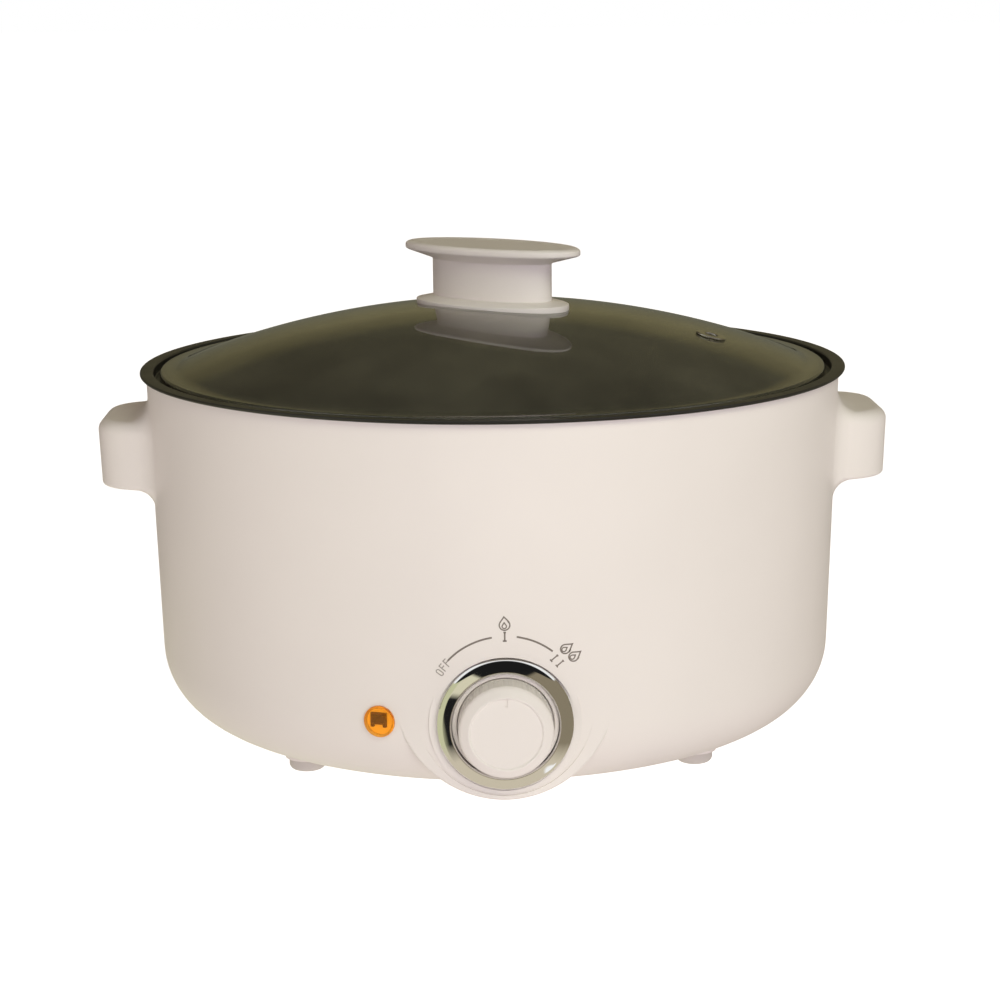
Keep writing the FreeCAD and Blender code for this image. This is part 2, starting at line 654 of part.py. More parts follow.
def housing():
    """Moulded drum with ears, visor, dial seat, turret, shelf, bottom flange and screw bosses."""
    right_ear = ear()
    left_ear = right_ear.mirror(ORIGIN, X_AXIS)
    body = blend_ears(fused([drum_outside(), right_ear, left_ear]))
    body = fused([body, rounded_visor(), turret_outside()])
    body = body.cut(fused([drum_hollow(), visor(WALL), turret_hollow()]))

    seat, collar = dial_seat()
    pocket = round_from_front(BEZEL_RADIUS + BEZEL_GAP, DIAL_HEIGHT, SEAT_REACH, RIM_RADIUS)
    flange = tube(0, 0, FLANGE_UNDERSIDE, COVER_RADIUS + COVER_GAP + WALL, FLANGE_OPENING, WALL)
    cover_bosses = [rod(x, y, FLANGE_UNDERSIDE, BOSS_RADIUS, WALL + COVER_BOSS_HEIGHT)
                    for x, y in COVER_SCREW_PLACES]
    shield_posts = [rod(x, y, FLANGE_UNDERSIDE, BOSS_RADIUS, SHIELD_HEIGHT - FLANGE_UNDERSIDE)
                    for x, y in SHIELD_SCREW_PLACES]
    foot_bosses = [rod(x, y, FOOT_TOP, FOOT_BOSS_RADIUS, INNER_FLOOR - FOOT_TOP) for x, y in FOOT_PLACES]
    body = body.cut(pocket)
    body = fused([body, seat, collar, flange] + foot_bosses + cover_bosses + shield_posts + inlet_bosses())

    cuts = [rod(0, 0, 0, COVER_RADIUS + COVER_GAP, FLANGE_UNDERSIDE),
            rod(0, 0, 0, FLANGE_OPENING, FLANGE_TOP + REACH_PAST)]
    for x, y in FOOT_PLACES:
        cuts.append(rod(x, y, 0, FOOT_STEM + STEM_GAP, INNER_FLOOR + REACH_PAST))
        cuts.append(rod(x, y, INNER_FLOOR, FOOT_BARB + SIDE_FIT, DRUM_CORNER / 3))
    for x, y in COVER_SCREW_PLACES:
        cuts.append(rod(x, y, FLANGE_UNDERSIDE - REACH_PAST, PILOT_RADIUS, SCREW_LENGTH))
    for x, y in SHIELD_SCREW_PLACES:
        cuts.append(rod(x, y, SHIELD_HEIGHT - SCREW_LENGTH, PILOT_RADIUS, SCREW_LENGTH + REACH_PAST))
    pocket_x = EAR_REACH - EAR_DRAFT - EAR_WALL - EAR_POCKET_WIDTH / 2
    for side in (-1, 1):
        corners = rounded_rectangle(EAR_POCKET_WIDTH, EAR_POCKET_LENGTH, EAR_WALL)
        grip = prism(corners, EAR_UNDERSIDE - EAR_BLEND, EAR_BLEND + EAR_POCKET_DEPTH)
        grip.translate(V(side * pocket_x, 0, 0))
        cuts.append(grip)
    lamp_hole = rod(0, 0, -2 * WALL, LAMP_HOLE, 3 * WALL)
    cuts.append(stand_out(lamp_hole, LAMP_AZIMUTH, LAMP_REACH, LAMP_HEIGHT))
    return body.cut(cuts + dial_cuts() + inlet_cuts())


# ---- Bottom cover, feet and their screws --------------------------------------------------------
def base_cover():
    """Flat plate with two rings of vent slots."""
    plate = rod(0, 0, FOOT_HEIGHT, COVER_RADIUS, COVER_THICKNESS)
    cuts = [rod(x, y, 0, PASSING_RADIUS, FLANGE_TOP) for x, y in COVER_SCREW_PLACES]
    for radius, count in ((INNER_VENT_RADIUS, INNER_VENTS), (OUTER_VENT_RADIUS, OUTER_VENTS)):
        for index in range(count):
            slot = prism(rounded_rectangle(VENT_LENGTH, VENT_SLOT, VENT_SLOT * 0.49), 0, FLANGE_TOP)
            slot.translate(V(radius, 0, 0))
            slot.rotate(ORIGIN, Z_AXIS, 360 * (index + 0.5) / count)
            cuts.append(slot)
    return plate.cut(cuts)


def pan_head_screw(length):
    """Screw with its head from z = 0 up and its shank below."""
    head = turned([(0, 0), (SCREW_HEAD_RADIUS, 0), (SCREW_HEAD_RADIUS, SCREW_HEAD_HEIGHT, SCREW_HEAD_ROUND),
                   (0, SCREW_HEAD_HEIGHT)])
    middle = SCREW_HEAD_HEIGHT / 2
    slot = block(0, 0, middle, SCREW_HEAD_RADIUS * 1.2, SCREW_CROSS, SCREW_HEAD_HEIGHT)
    cross = block(0, 0, middle, SCREW_CROSS, SCREW_HEAD_RADIUS * 1.2, SCREW_HEAD_HEIGHT)
    shank = rod(0, 0, -length, SCREW_RADIUS, length)
    return fused([head, shank]).cut([slot, cross])


def placed_screws(places, height, length, pointing_up):
    """Equal screws at several places; pointing_up puts their heads underneath."""
    screws = []
    for x, y in places:
        screw = pan_head_screw(length)
        if pointing_up:
            screw.rotate(ORIGIN, X_AXIS, 180)
        screw.translate(V(x, y, height))
        screws.append(screw)
    return group(screws)


def foot(x, y):
    """Rubber foot with a barbed stem that is pushed into its boss."""
    barb_bottom = INNER_FLOOR + STEM_GAP
    barb_top = barb_bottom + FOOT_BARB / 2
    solid = turned([(0, 0), (FOOT_RADIUS, 0, FOOT_ROUND), (FOOT_RADIUS, FOOT_TOP), (FOOT_STEM, FOOT_TOP),
                    (FOOT_STEM, barb_bottom), (FOOT_BARB, barb_bottom), (FOOT_STEM - 1, barb_top),
                    (0, barb_top)])
    solid.translate(V(x, y, 0))
    return solid


# ---- Pan and its seal ---------------------------------------------------------------------------
def pan():
    """Bowl with ledge, step and flange, drawn from one sheet."""
    outer_bend = SHEET + SHEET_BEND
    return turned([
        (0, FLOOR_HEIGHT), (FLOOR_RADIUS, FLOOR_HEIGHT, PAN_CORNER), (MOUTH_RADIUS, LEDGE_TOP, outer_bend),
        (STEP_RADIUS, LEDGE_TOP, SHEET_BEND), (STEP_RADIUS, RIM_TOP, SHEET_BEND),
        (RIM_RADIUS, RIM_TOP, SHEET * 0.45), (RIM_RADIUS, FLANGE_BOTTOM, SHEET * 0.45),
        (STEP_RADIUS + SHEET, FLANGE_BOTTOM), (STEP_RADIUS + SHEET, LEDGE_BOTTOM, outer_bend),
        (MOUTH_RADIUS + SHEET, LEDGE_BOTTOM, SHEET_BEND),
        (FLOOR_RADIUS + SHEET, PAN_BOTTOM, PAN_CORNER + SHEET), (0, PAN_BOTTOM)])


def pan_seal():
    """Silicone ring between the shelf and the pan's ledge."""
    inner = MOUTH_RADIUS + SHEET + PAN_CLEARANCE + SHEET_BEND
    outer = STEP_RADIUS
    return tube(0, 0, SEAT_TOP, outer, inner, SEAL_THICKNESS)


# ---- Heater -------------------------------------------------------------------------------------
def element_shape(radius):
    """Ring element with two tails that turn down; a larger radius makes its groove."""
    sweep = 360 - 2 * ELEMENT_SPLIT
    ring = Part.makeTorus(ELEMENT_RING, radius, V(0, 0, PLATE_BOTTOM), Z_AXIS, -180, 180, sweep)
    ring.rotate(ORIGIN, Z_AXIS, ELEMENT_SPLIT)
    pieces = [ring]
    for x, y in around(ELEMENT_RING, (-ELEMENT_SPLIT, ELEMENT_SPLIT)):
        pieces.append(Part.makeSphere(radius, V(x, y, PLATE_BOTTOM)))
        pieces.append(rod(x, y, TAIL_BOTTOM, radius, ELEMENT_TAIL))
    return fused(pieces)


def heater_plate():
    """Cast aluminium plate brazed under the pan, grooved for the element."""
    plate = rod(0, 0, PLATE_BOTTOM, PLATE_RADIUS, PLATE_THICKNESS)
    screw_holes = [rod(0, side * THERMOSTAT_EAR, PLATE_BOTTOM - REACH_PAST, PILOT_RADIUS,
                       PLATE_THICKNESS) for side in (-1, 1)]
    return plate.cut([element_shape(ELEMENT_RADIUS + ELEMENT_GAP)] + screw_holes)


def element_tabs():
    """Flat terminals on the element's tails."""
    return group([block(x, y, TAIL_BOTTOM - TAB_LENGTH, TAB_WIDTH, TAB_THICKNESS, TAB_LENGTH)
                  for x, y in around(ELEMENT_RING, (-ELEMENT_SPLIT, ELEMENT_SPLIT))])


STUD_PLACES = around(STUD_RING, (30, 150, 270))
TAIL_PLACES = around(ELEMENT_RING, (-ELEMENT_SPLIT, ELEMENT_SPLIT))


def heat_shield():
    """Steel dish under the heater, screwed to four posts and clamped to the pan's studs."""
    dish = turned([(0, SHIELD_HEIGHT), (SHIELD_RADIUS, SHIELD_HEIGHT, 2.0),
                   (SHIELD_RADIUS, SHIELD_HEIGHT + SHIELD_RIM),
                   (SHIELD_RADIUS - SHIELD_SHEET, SHIELD_HEIGHT + SHIELD_RIM),
                   (SHIELD_RADIUS - SHIELD_SHEET, SHIELD_TOP, 1.0), (0, SHIELD_TOP)])
    bottom = SHIELD_HEIGHT - REACH_PAST
    height = SHIELD_SHEET + 2 * REACH_PAST
    cuts = [rod(0, 0, bottom, THERMOSTAT_OPENING, height)]
    cuts += [rod(x, y, bottom, TAIL_HOLE, height) for x, y in TAIL_PLACES]
    cuts += [rod(x, y, bottom, STUD_HOLE, height) for x, y in STUD_PLACES]
    cuts += [rod(x, y, bottom, PASSING_RADIUS, height) for x, y in SHIELD_SCREW_PLACES]
    cuts.append(rod(EARTH_PLACE[0], EARTH_PLACE[1], bottom, PILOT_RADIUS, height))
    return dish.cut(cuts)


def pan_studs():
    """Threaded studs on round pads, welded under the pan."""
    bottom = SHIELD_HEIGHT - STUD_BELOW
    studs = []
    for x, y in STUD_PLACES:
        pad = rod(x, y, PAN_BOTTOM - STUD_PAD_THICKNESS, STUD_PAD, STUD_PAD_THICKNESS)
        stem = rod(x, y, bottom, STUD_RADIUS, PAN_BOTTOM - STUD_PAD_THICKNESS - bottom)
        studs.append(fused([pad, stem]))
    return group(studs)


def stud_spacers():
    """Tubes that hold the shield at its distance from the pan."""
    height = PAN_BOTTOM - STUD_PAD_THICKNESS - SHIELD_TOP
    return group([tube(x, y, SHIELD_TOP, SPACER_RADIUS, STUD_HOLE, height) for x, y in STUD_PLACES])


def stud_washers():
    """Flat washers under the shield."""
    bottom = SHIELD_HEIGHT - WASHER_THICKNESS
    return group([tube(x, y, bottom, WASHER_RADIUS, STUD_HOLE, WASHER_THICKNESS) for x, y in STUD_PLACES])


def stud_nuts():
    """Hexagon nuts that clamp pan, spacers and shield together."""
    nuts = []
    corner_radius = NUT_WIDTH / math.sqrt(3)
    bottom = SHIELD_HEIGHT - WASHER_THICKNESS - NUT_HEIGHT
    for x, y in STUD_PLACES:
        corners = around(corner_radius, range(0, 360, 60))
        nut = prism(corners, bottom, NUT_HEIGHT).cut(rod(0, 0, bottom, STUD_RADIUS + STEM_GAP, NUT_HEIGHT))
        nut.translate(V(x, y, 0))
        nuts.append(nut)
    return group(nuts)


def thermostat():
    """Disc thermostat with a flange, held against the heater plate."""
    plan = rounded_rectangle(THERMOSTAT_FLANGE_WIDTH, 2 * (THERMOSTAT_EAR + THERMOSTAT_FLANGE_END),
                             THERMOSTAT_FLANGE_END)
    flange = prism(plan, PLATE_BOTTOM - THERMOSTAT_FLANGE, THERMOSTAT_FLANGE)
    body = rod(0, 0, THERMOSTAT_BOTTOM, THERMOSTAT_RADIUS, THERMOSTAT_HEIGHT)
    holes = [rod(0, side * THERMOSTAT_EAR, PLATE_BOTTOM - 2 * THERMOSTAT_FLANGE, PASSING_RADIUS,
                 3 * THERMOSTAT_FLANGE) for side in (-1, 1)]
    return fused([flange, body]).cut(holes)


def thermostat_tabs():
    """Its two flat terminals."""
    return group([block(side * THERMOSTAT_TAB_X, 0, THERMOSTAT_BOTTOM - TAB_LENGTH, TAB_THICKNESS,
                        TAB_WIDTH, TAB_LENGTH) for side in (-1, 1)])


# ---- Push-on sleeves ----------------------------------------------------------------------------
def sleeve():
    """Insulated push-on sleeve that stands on z = 0, with its slot in the bottom face."""
    body = prism(rounded_rectangle(SLEEVE_WIDTH, SLEEVE_THICKNESS, 1.0), 0, SLEEVE_LENGTH)
    slot = block(0, 0, -REACH_PAST, TAB_WIDTH + 0.2, TAB_THICKNESS + 0.1, SLEEVE_OVERLAP + REACH_PAST)
    return body.cut(slot)


def hanging_sleeve(x, y, tab_root, turn):
    """Sleeve on a tab that hangs down from tab_root."""
    shape = sleeve()
    shape.rotate(ORIGIN, X_AXIS, 180)
    shape.rotate(ORIGIN, Z_AXIS, turn)
    shape.translate(V(x, y, tab_root - TAB_LENGTH + SLEEVE_OVERLAP))
    return shape


def heater_sleeves():
    """Sleeves on the element's and the thermostat's tabs."""
    shapes = [hanging_sleeve(x, y, TAIL_BOTTOM, 0) for x, y in TAIL_PLACES]
    shapes += [hanging_sleeve(side * THERMOSTAT_TAB_X, 0, THERMOSTAT_BOTTOM, 90) for side in (-1, 1)]
    return group(shapes)


SWITCH_TAB_X = [SWITCH_TAB_PITCH * (index - (SWITCH_TABS - 1) / 2) for index in range(SWITCH_TABS)]


def inward_sleeve(x, rise, tab_root, azimuth, reach, height):
    """Sleeve on a tab that points in towards the drum's axis."""
    shape = sleeve()
    shape.rotate(ORIGIN, X_AXIS, 180)
    shape.translate(V(x, rise, -tab_root - TAB_LENGTH + SLEEVE_OVERLAP))
    return stand_out(shape, azimuth, reach, height)


def switch_sleeves():
    """Sleeves on the switch's tabs."""
    return group([inward_sleeve(x, -SWITCH_TAB_DROP, SWITCH_LID_BACK, 0, SEAT_REACH, DIAL_HEIGHT)
                  for x in SWITCH_TAB_X])


INLET_PIN_PLACES = ((-PIN_PITCH, -PIN_DROP), (PIN_PITCH, -PIN_DROP), (0, EARTH_PIN_RISE))


def inlet_sleeves():
    """Sleeves on the inlet's tabs."""
    return group([inward_sleeve(x, rise, INLET_DEPTH, 180, INLET_REACH, INLET_HEIGHT)
                  for x, rise in INLET_PIN_PLACES])


# ---- Dial, bezel and switch ---------------------------------------------------------------------
def at_dial(shape):
    """Place a shape modelled on the seat's face."""
    return stand_out(shape, 0, SEAT_REACH, DIAL_HEIGHT)


def dial_bezel():
    """Bright ring that rises in a rounded slope to a crest near its bore."""
    return at_dial(turned([(BEZEL_INNER, 0), (BEZEL_RADIUS, 0), (BEZEL_RADIUS, BEZEL_EDGE, 0.5),
                           (BEZEL_RADIUS - BEZEL_SHOULDER_INSET, BEZEL_SHOULDER, BEZEL_SLOPE_ROUND),
                           (BEZEL_CREST, BEZEL_HEIGHT, 0.8), (BEZEL_INNER, BEZEL_LIP_HEIGHT, 0.3)]))


def dial_knob():
    """Hollow dial with a fluted side, a dished face, a pointer notch and a D-shaped hub."""
    face = DIAL_HEIGHT_OUT
    outside = turned([(0, DIAL_LIFT), (DIAL_RADIUS, DIAL_LIFT), (DIAL_RADIUS, DIAL_SKIRT, 1.0),
                      (DIAL_TOP_RADIUS, face - DIAL_SHOULDER_ROUND, DIAL_SHOULDER_ROUND),
                      (DIAL_FACE_RADIUS, face, 0.6), (DIAL_FACE_RADIUS - DIAL_DISH, face - DIAL_DISH, 0.4),
                      (0, face - DIAL_DISH)])
    roof = face - DIAL_DISH - DIAL_WALL
    inner = DIAL_RADIUS - DIAL_WALL
    shoulder = face - DIAL_SHOULDER_ROUND - DIAL_WALL
    hollow = turned([(DIAL_HUB_RADIUS, 0), (inner, 0), (inner, DIAL_SKIRT),
                     (DIAL_TOP_RADIUS - DIAL_WALL, shoulder - 1), (DIAL_FACE_RADIUS - 1.5, roof),
                     (DIAL_HUB_RADIUS, roof)])
    hub_end = rod(0, 0, 0, DIAL_HUB_RADIUS + 0.01, NOSE_LENGTH - DIAL_SEAT_THICKNESS + DIAL_LIFT)
    flat_bore = rod(0, 0, 0, SHAFT_RADIUS + 0.05, SHAFT_OUT + 0.3)
    flat_bore = flat_bore.cut(block(0, SHAFT_FLAT + 0.05 + SHAFT_RADIUS, 0, 4 * SHAFT_RADIUS,
                                    2 * SHAFT_RADIUS, SHAFT_OUT + 1))
    flutes = []
    length = face - DIAL_SHOULDER_ROUND - DIAL_SKIRT
    lean = math.degrees(math.atan((DIAL_RADIUS - DIAL_TOP_RADIUS) / length))
    for index in range(DIAL_FLUTES):
        flute = Part.makeCylinder(FLUTE_RADIUS, length + FLUTE_RADIUS)
        flute.rotate(ORIGIN, V(0, 1, 0), -lean)
        flute.translate(V(DIAL_RADIUS + FLUTE_RADIUS - FLUTE_DEPTH, 0, DIAL_SKIRT))
        flute.rotate(ORIGIN, Z_AXIS, 360 * (index + 0.5) / DIAL_FLUTES)
        flutes.append(flute)
    pointer = block(0, DIAL_FACE_RADIUS - 2, face - DIAL_DISH - 0.4, 1.2, 3.2, 2.0)
    return at_dial(outside.cut([hollow, hub_end, flat_bore, pointer] + flutes))


def switch_case():
    """Box of the rotary switch, with a nose that carries the shaft."""
    body = prism(rounded_rectangle(CASE_WIDTH, CASE_HEIGHT, 2.0), -CASE_BACK, CASE_DEPTH)
    nose = rod(0, 0, -CASE_BACK, NOSE_RADIUS, CASE_DEPTH + NOSE_LENGTH)
    bore = rod(0, 0, -CASE_BACK, SHAFT_RADIUS + SHAFT_GAP, CASE_BACK + NOSE_LENGTH)
    cavity = rod(0, 0, -CASE_BACK, CASE_CAVITY, CASE_DEPTH - CASE_FRONT)
    holes = [rod(side * SWITCH_SCREW_X, 0, -SCREW_LENGTH, PILOT_RADIUS, SCREW_LENGTH) for side in (-1, 1)]
    return at_dial(fused([body, nose]).cut([bore, cavity] + holes))


def switch_lid():
    """Back plate of the switch, slotted for the tabs."""
    plate = prism(rounded_rectangle(CASE_WIDTH, CASE_HEIGHT, 2.0), -SWITCH_LID_BACK, CASE_LID)
    slots = [block(x, -SWITCH_TAB_DROP, -SWITCH_LID_BACK - 1, TAB_WIDTH + 0.1, TAB_THICKNESS + 0.1,
                   CASE_LID + 2) for x in SWITCH_TAB_X]
    return at_dial(plate.cut(slots))


def switch_tabs():
    """Flat terminals of the switch."""
    return group([at_dial(block(x, -SWITCH_TAB_DROP, -SWITCH_LID_BACK - TAB_LENGTH, TAB_WIDTH,
                                TAB_THICKNESS, TAB_LENGTH + CASE_LID)) for x in SWITCH_TAB_X])


def switch_rotor():
    """Shaft with its flat, and the cam that works the contacts."""
    tail = CASE_BACK - 1.0
    shaft = rod(0, 0, -tail, SHAFT_RADIUS, tail + SHAFT_OUT)
    flat_from = NOSE_LENGTH - DIAL_SEAT_THICKNESS + DIAL_LIFT
    flat = block(0, SHAFT_FLAT + SHAFT_RADIUS, flat_from, 4 * SHAFT_RADIUS, 2 * SHAFT_RADIUS, SHAFT_OUT)
    cam_top = -DIAL_SEAT_THICKNESS - CASE_FRONT - 1.0
    cam = rod(0, 0, cam_top - CAM_THICKNESS, CAM_RADIUS, CAM_THICKNESS)
    notch = block(0, CAM_RADIUS, cam_top - CAM_THICKNESS, 4.0, 3.0, CAM_THICKNESS)
    return at_dial(fused([shaft, cam.cut(notch)]).cut(flat))


def switch_screws():
    """Two screws through the seat into the switch, sunk below the dial."""
    screws = []
    for side in (-1, 1):
        screw = pan_head_screw(SCREW_LENGTH - SCREW_HEAD_HEIGHT - 0.5)
        screw.translate(V(side * SWITCH_SCREW_X, 0, -SCREW_HEAD_HEIGHT))
        screws.append(at_dial(screw))
    return group(screws)


# ---- Pilot lamp ---------------------------------------------------------------------------------
def at_lamp(shape):
    """Place a shape modelled on the drum's skin at the lamp."""
    return stand_out(shape, LAMP_AZIMUTH, LAMP_REACH, LAMP_HEIGHT)


def lamp_lens():
    """Amber cap with a thin flange, open at the back."""
    outside = turned([(0, -LENS_DEPTH), (LENS_BODY, -LENS_DEPTH), (LENS_BODY, 0), (LENS_RADIUS, 0),
                      (LENS_RADIUS, LENS_PROUD, LENS_ROUND), (0, LENS_PROUD)])
    return at_lamp(outside.cut(rod(0, 0, -LENS_DEPTH, LENS_BODY - LENS_WALL, LENS_DEPTH)))


def lamp_clip():
    """Spring washer that grips the lens behind the wall."""
    return at_lamp(tube(0, 0, -LAMP_CLIP_DEPTH - LAMP_CLIP_THICKNESS, LAMP_CLIP_RADIUS,
                        LENS_BODY + 0.05, LAMP_CLIP_THICKNESS))


def lamp_plug():
    """White round plug that closes the lens at the back and holds the shade."""
    plug = rod(0, 0, SHADE_BACK - PLUG_FLOOR, LENS_BODY - LENS_WALL - 0.05,
               PLUG_FRONT - SHADE_BACK + PLUG_FLOOR)
    return at_lamp(plug.cut(block(0, 0, SHADE_BACK, SHADE_SIDE, SHADE_SIDE, SHADE_LENGTH)))


def lamp_shade():
    """Square dark tube that stands in the plug."""
    square = block(0, 0, SHADE_BACK, SHADE_SIDE, SHADE_SIDE, SHADE_LENGTH)
    room = block(0, 0, SHADE_BACK, SHADE_SIDE - 2 * SHADE_WALL, SHADE_SIDE - 2 * SHADE_WALL,
                 SHADE_LENGTH + REACH_PAST)
    return at_lamp(square.cut(room))


def neon_bulb():
    """Small glass bulb that stands in the shade."""
    bottom = SHADE_BACK
    return at_lamp(turned([(0, bottom), (BULB_RADIUS, bottom), (BULB_RADIUS, bottom + BULB_LENGTH, 1.6),
                           (0, bottom + BULB_LENGTH)]))


# ---- Mains inlet --------------------------------------------------------------------------------
def at_inlet(shape):
    """Place a shape modelled on the turret's face."""
    return stand_out(shape, 180, INLET_REACH, INLET_HEIGHT)


def inlet_body():
    """Moulded inlet with a flange, a socket and three pins' slots."""
    flange = prism(rounded_rectangle(INLET_FLANGE_WIDTH, INLET_FLANGE_HEIGHT, 4.0), 0, INLET_FLANGE)
    body = prism(rounded_rectangle(INLET_BODY_WIDTH, INLET_BODY_HEIGHT, 2.0), -INLET_DEPTH, INLET_DEPTH)
    socket_bottom = INLET_FLANGE - INLET_SOCKET_DEPTH
    u, v = INLET_SOCKET_WIDTH / 2, INLET_SOCKET_HEIGHT / 2
    inner_u, inner_v = u - INLET_SOCKET_CHAMFER, v - INLET_SOCKET_CHAMFER
    corners = [(-u, -v, 1.0), (u, -v, 1.0), (u, inner_v, 0.5), (inner_u, v, 0.5), (-inner_u, v, 0.5),
               (-u, inner_v, 0.5)]
    socket = prism(corners, socket_bottom, INLET_SOCKET_DEPTH + REACH_PAST)
    slots = [block(x, rise, -INLET_DEPTH, PIN_WIDTH + 0.1, PIN_THICKNESS + 0.1, INLET_DEPTH)
             for x, rise in INLET_PIN_PLACES]
    holes = [rod(side * INLET_SCREW_X, 0, -1, PASSING_RADIUS, INLET_FLANGE + 2) for side in (-1, 1)]
    return at_inlet(fused([flange, body]).cut([socket] + slots + holes))


def inlet_pins():
    """Three flat pins, each with a tab at the back."""
    root = INLET_FLANGE - INLET_SOCKET_DEPTH
    pins = []
    for x, rise in INLET_PIN_PLACES:
        pin = block(x, rise, -INLET_DEPTH, PIN_WIDTH, PIN_THICKNESS, root + INLET_DEPTH + PIN_LENGTH)
        tab = block(x, rise, -INLET_DEPTH - TAB_LENGTH, TAB_WIDTH, TAB_THICKNESS, TAB_LENGTH)
        pins.append(at_inlet(fused([pin, tab])))
    return group(pins)


def inlet_screws():
    """Two screws through the inlet's flange into the turret."""
    screws = []
    for side in (-1, 1):
        screw = pan_head_screw(INLET_SCREW_LENGTH)
        screw.translate(V(side * INLET_SCREW_X, 0, INLET_FLANGE))
        screws.append(at_inlet(screw))
    return group(screws)


# ---- Wires --------------------------------------------------------------------------------------
SWITCH_WIRE_Z = DIAL_HEIGHT - SWITCH_TAB_DROP
MIDDLE_SLEEVE_END = THERMOSTAT_BOTTOM - TAB_LENGTH + SLEEVE_OVERLAP - SLEEVE_LENGTH
TAIL_SLEEVE_END = TAIL_BOTTOM - TAB_LENGTH + SLEEVE_OVERLAP - SLEEVE_LENGTH


def wire(points, radius):
    """Round wire along straight runs joined by tangent arcs."""
    corners = [V(*point) for point in points]
    edges = []
    start = corners[0]
    for before, here, after in zip(corners, corners[1:], corners[2:]):
        run = min((here - before).Length, (after - here).Length)
        half_turn = (math.pi - (before - here).getAngle(after - here)) / 2
        bend = BEND_SHARE * run / math.tan(half_turn)
        arc_start, middle, arc_end = rounded_corner(before, here, after, bend)
        line_to(edges, start, arc_start)
        edges.append(Part.Arc(arc_start, middle, arc_end).toShape())
        start = arc_end
    line_to(edges, start, corners[-1])
    section = Part.Wire([Part.Circle(corners[0], corners[1] - corners[0], radius).toShape()])
    return Part.Wire(edges).makePipeShell([section], True, False)


def mains_wire(side):
    """From a pin of the inlet round one side of the drum to an outer tab of the switch."""
    inlet_z = INLET_HEIGHT - PIN_DROP
    tab_x = side * SWITCH_TAB_X[-1]
    return wire([(side * PIN_PITCH, INLET_SLEEVE_Y, inlet_z),
                 (side * PIN_PITCH, INLET_SLEEVE_Y - LEAD_OUT, inlet_z),
                 (side * SIDE_RUN, BOSS_RING - LEAD_OUT, RUN_HEIGHT),
                 (side * (SIDE_RUN + RUN_BOW), BOSS_RING / 4, RUN_HEIGHT - RUN_BOW),
                 (side * SIDE_RUN, -BOSS_RING / 2, RUN_HEIGHT),
                 (tab_x, SWITCH_SLEEVE_Y + LEAD_OUT, SWITCH_WIRE_Z),
                 (tab_x, SWITCH_SLEEVE_Y, SWITCH_WIRE_Z)], WIRE_RADIUS)


def thermostat_wire():
    """From an inner tab of the switch to the thermostat."""
    x = SWITCH_TAB_X[1]
    return wire([(x, SWITCH_SLEEVE_Y, SWITCH_WIRE_Z),
                 (x, SWITCH_SLEEVE_Y + LEAD_OUT, SWITCH_WIRE_Z),
                 (x, -BOSS_RING / 2, RUN_HEIGHT),
                 (-THERMOSTAT_TAB_X, -LEAD_OUT, RUN_HEIGHT - RUN_BOW),
                 (-THERMOSTAT_TAB_X, 0, RUN_HEIGHT - RUN_BOW),
                 (-THERMOSTAT_TAB_X, 0, MIDDLE_SLEEVE_END)], WIRE_RADIUS)


def tail_wire():
    """From the thermostat to one tail of the element."""
    x, y = TAIL_PLACES[1]
    return wire([(THERMOSTAT_TAB_X, 0, MIDDLE_SLEEVE_END),
                 (THERMOSTAT_TAB_X, 0, RUN_HEIGHT - RUN_BOW),
                 (THERMOSTAT_TAB_X + LEAD_OUT, y / 2, LOW_RUN),
                 (x, y, LOW_RUN),
                 (x, y, TAIL_SLEEVE_END)], WIRE_RADIUS)


FUSE_PLACE = (ELEMENT_RING * 0.6, -ELEMENT_RING * 0.9, LOW_RUN + FUSE_RADIUS)


def thermal_fuse():
    """One-shot fuse in its glass-fibre sleeve."""
    return Part.makeCylinder(FUSE_RADIUS, FUSE_LENGTH, V(*FUSE_PLACE), V(0, 1, 0))


def fused_wires():
    """From the other inner tab of the switch to the fuse, and from the fuse to the other tail."""
    x = SWITCH_TAB_X[2]
    fuse_x, fuse_y, fuse_z = FUSE_PLACE
    fuse_end = fuse_y + FUSE_LENGTH
    tail_x, tail_y = TAIL_PLACES[0]
    first = wire([(x, SWITCH_SLEEVE_Y, SWITCH_WIRE_Z),
                  (x, SWITCH_SLEEVE_Y + LEAD_OUT, SWITCH_WIRE_Z),
                  (fuse_x, fuse_y - LEAD_OUT, fuse_z),
                  (fuse_x, fuse_y, fuse_z)], WIRE_RADIUS)
    second = wire([(fuse_x, fuse_end, fuse_z),
                   (fuse_x, fuse_end + FUSE_LENGTH / 2, fuse_z),
                   (tail_x, tail_y, LOW_RUN),
                   (tail_x, tail_y, TAIL_SLEEVE_END)], WIRE_RADIUS)
    return group([first, second])


EARTH_PLACE = (0.0, PLATE_RADIUS - EARTH_INSET)
EARTH_LINE = SHIELD_HEIGHT - EARTH_BARREL_DROP
EARTH_BARREL_START = EARTH_PLACE[1] + EARTH_TAG_RADIUS - EARTH_TAG


def earth_tag():
    """Ring terminal under the shield, with a short barrel."""
    x, y = EARTH_PLACE
    ring = tube(x, y, SHIELD_HEIGHT - EARTH_TAG, EARTH_TAG_RADIUS, PASSING_RADIUS, EARTH_TAG)
    barrel = Part.makeCylinder(EARTH_BARREL_RADIUS, EARTH_BARREL, V(x, EARTH_BARREL_START, EARTH_LINE),
                               V(0, 1, 0))
    return fused([ring, barrel])


def earth_screw():
    """Screw that clamps the ring terminal to the shield."""
    screw = pan_head_screw(SCREW_LENGTH / 2)
    screw.rotate(ORIGIN, X_AXIS, 180)
    screw.translate(V(EARTH_PLACE[0], EARTH_PLACE[1], SHIELD_HEIGHT - EARTH_TAG))
    return screw


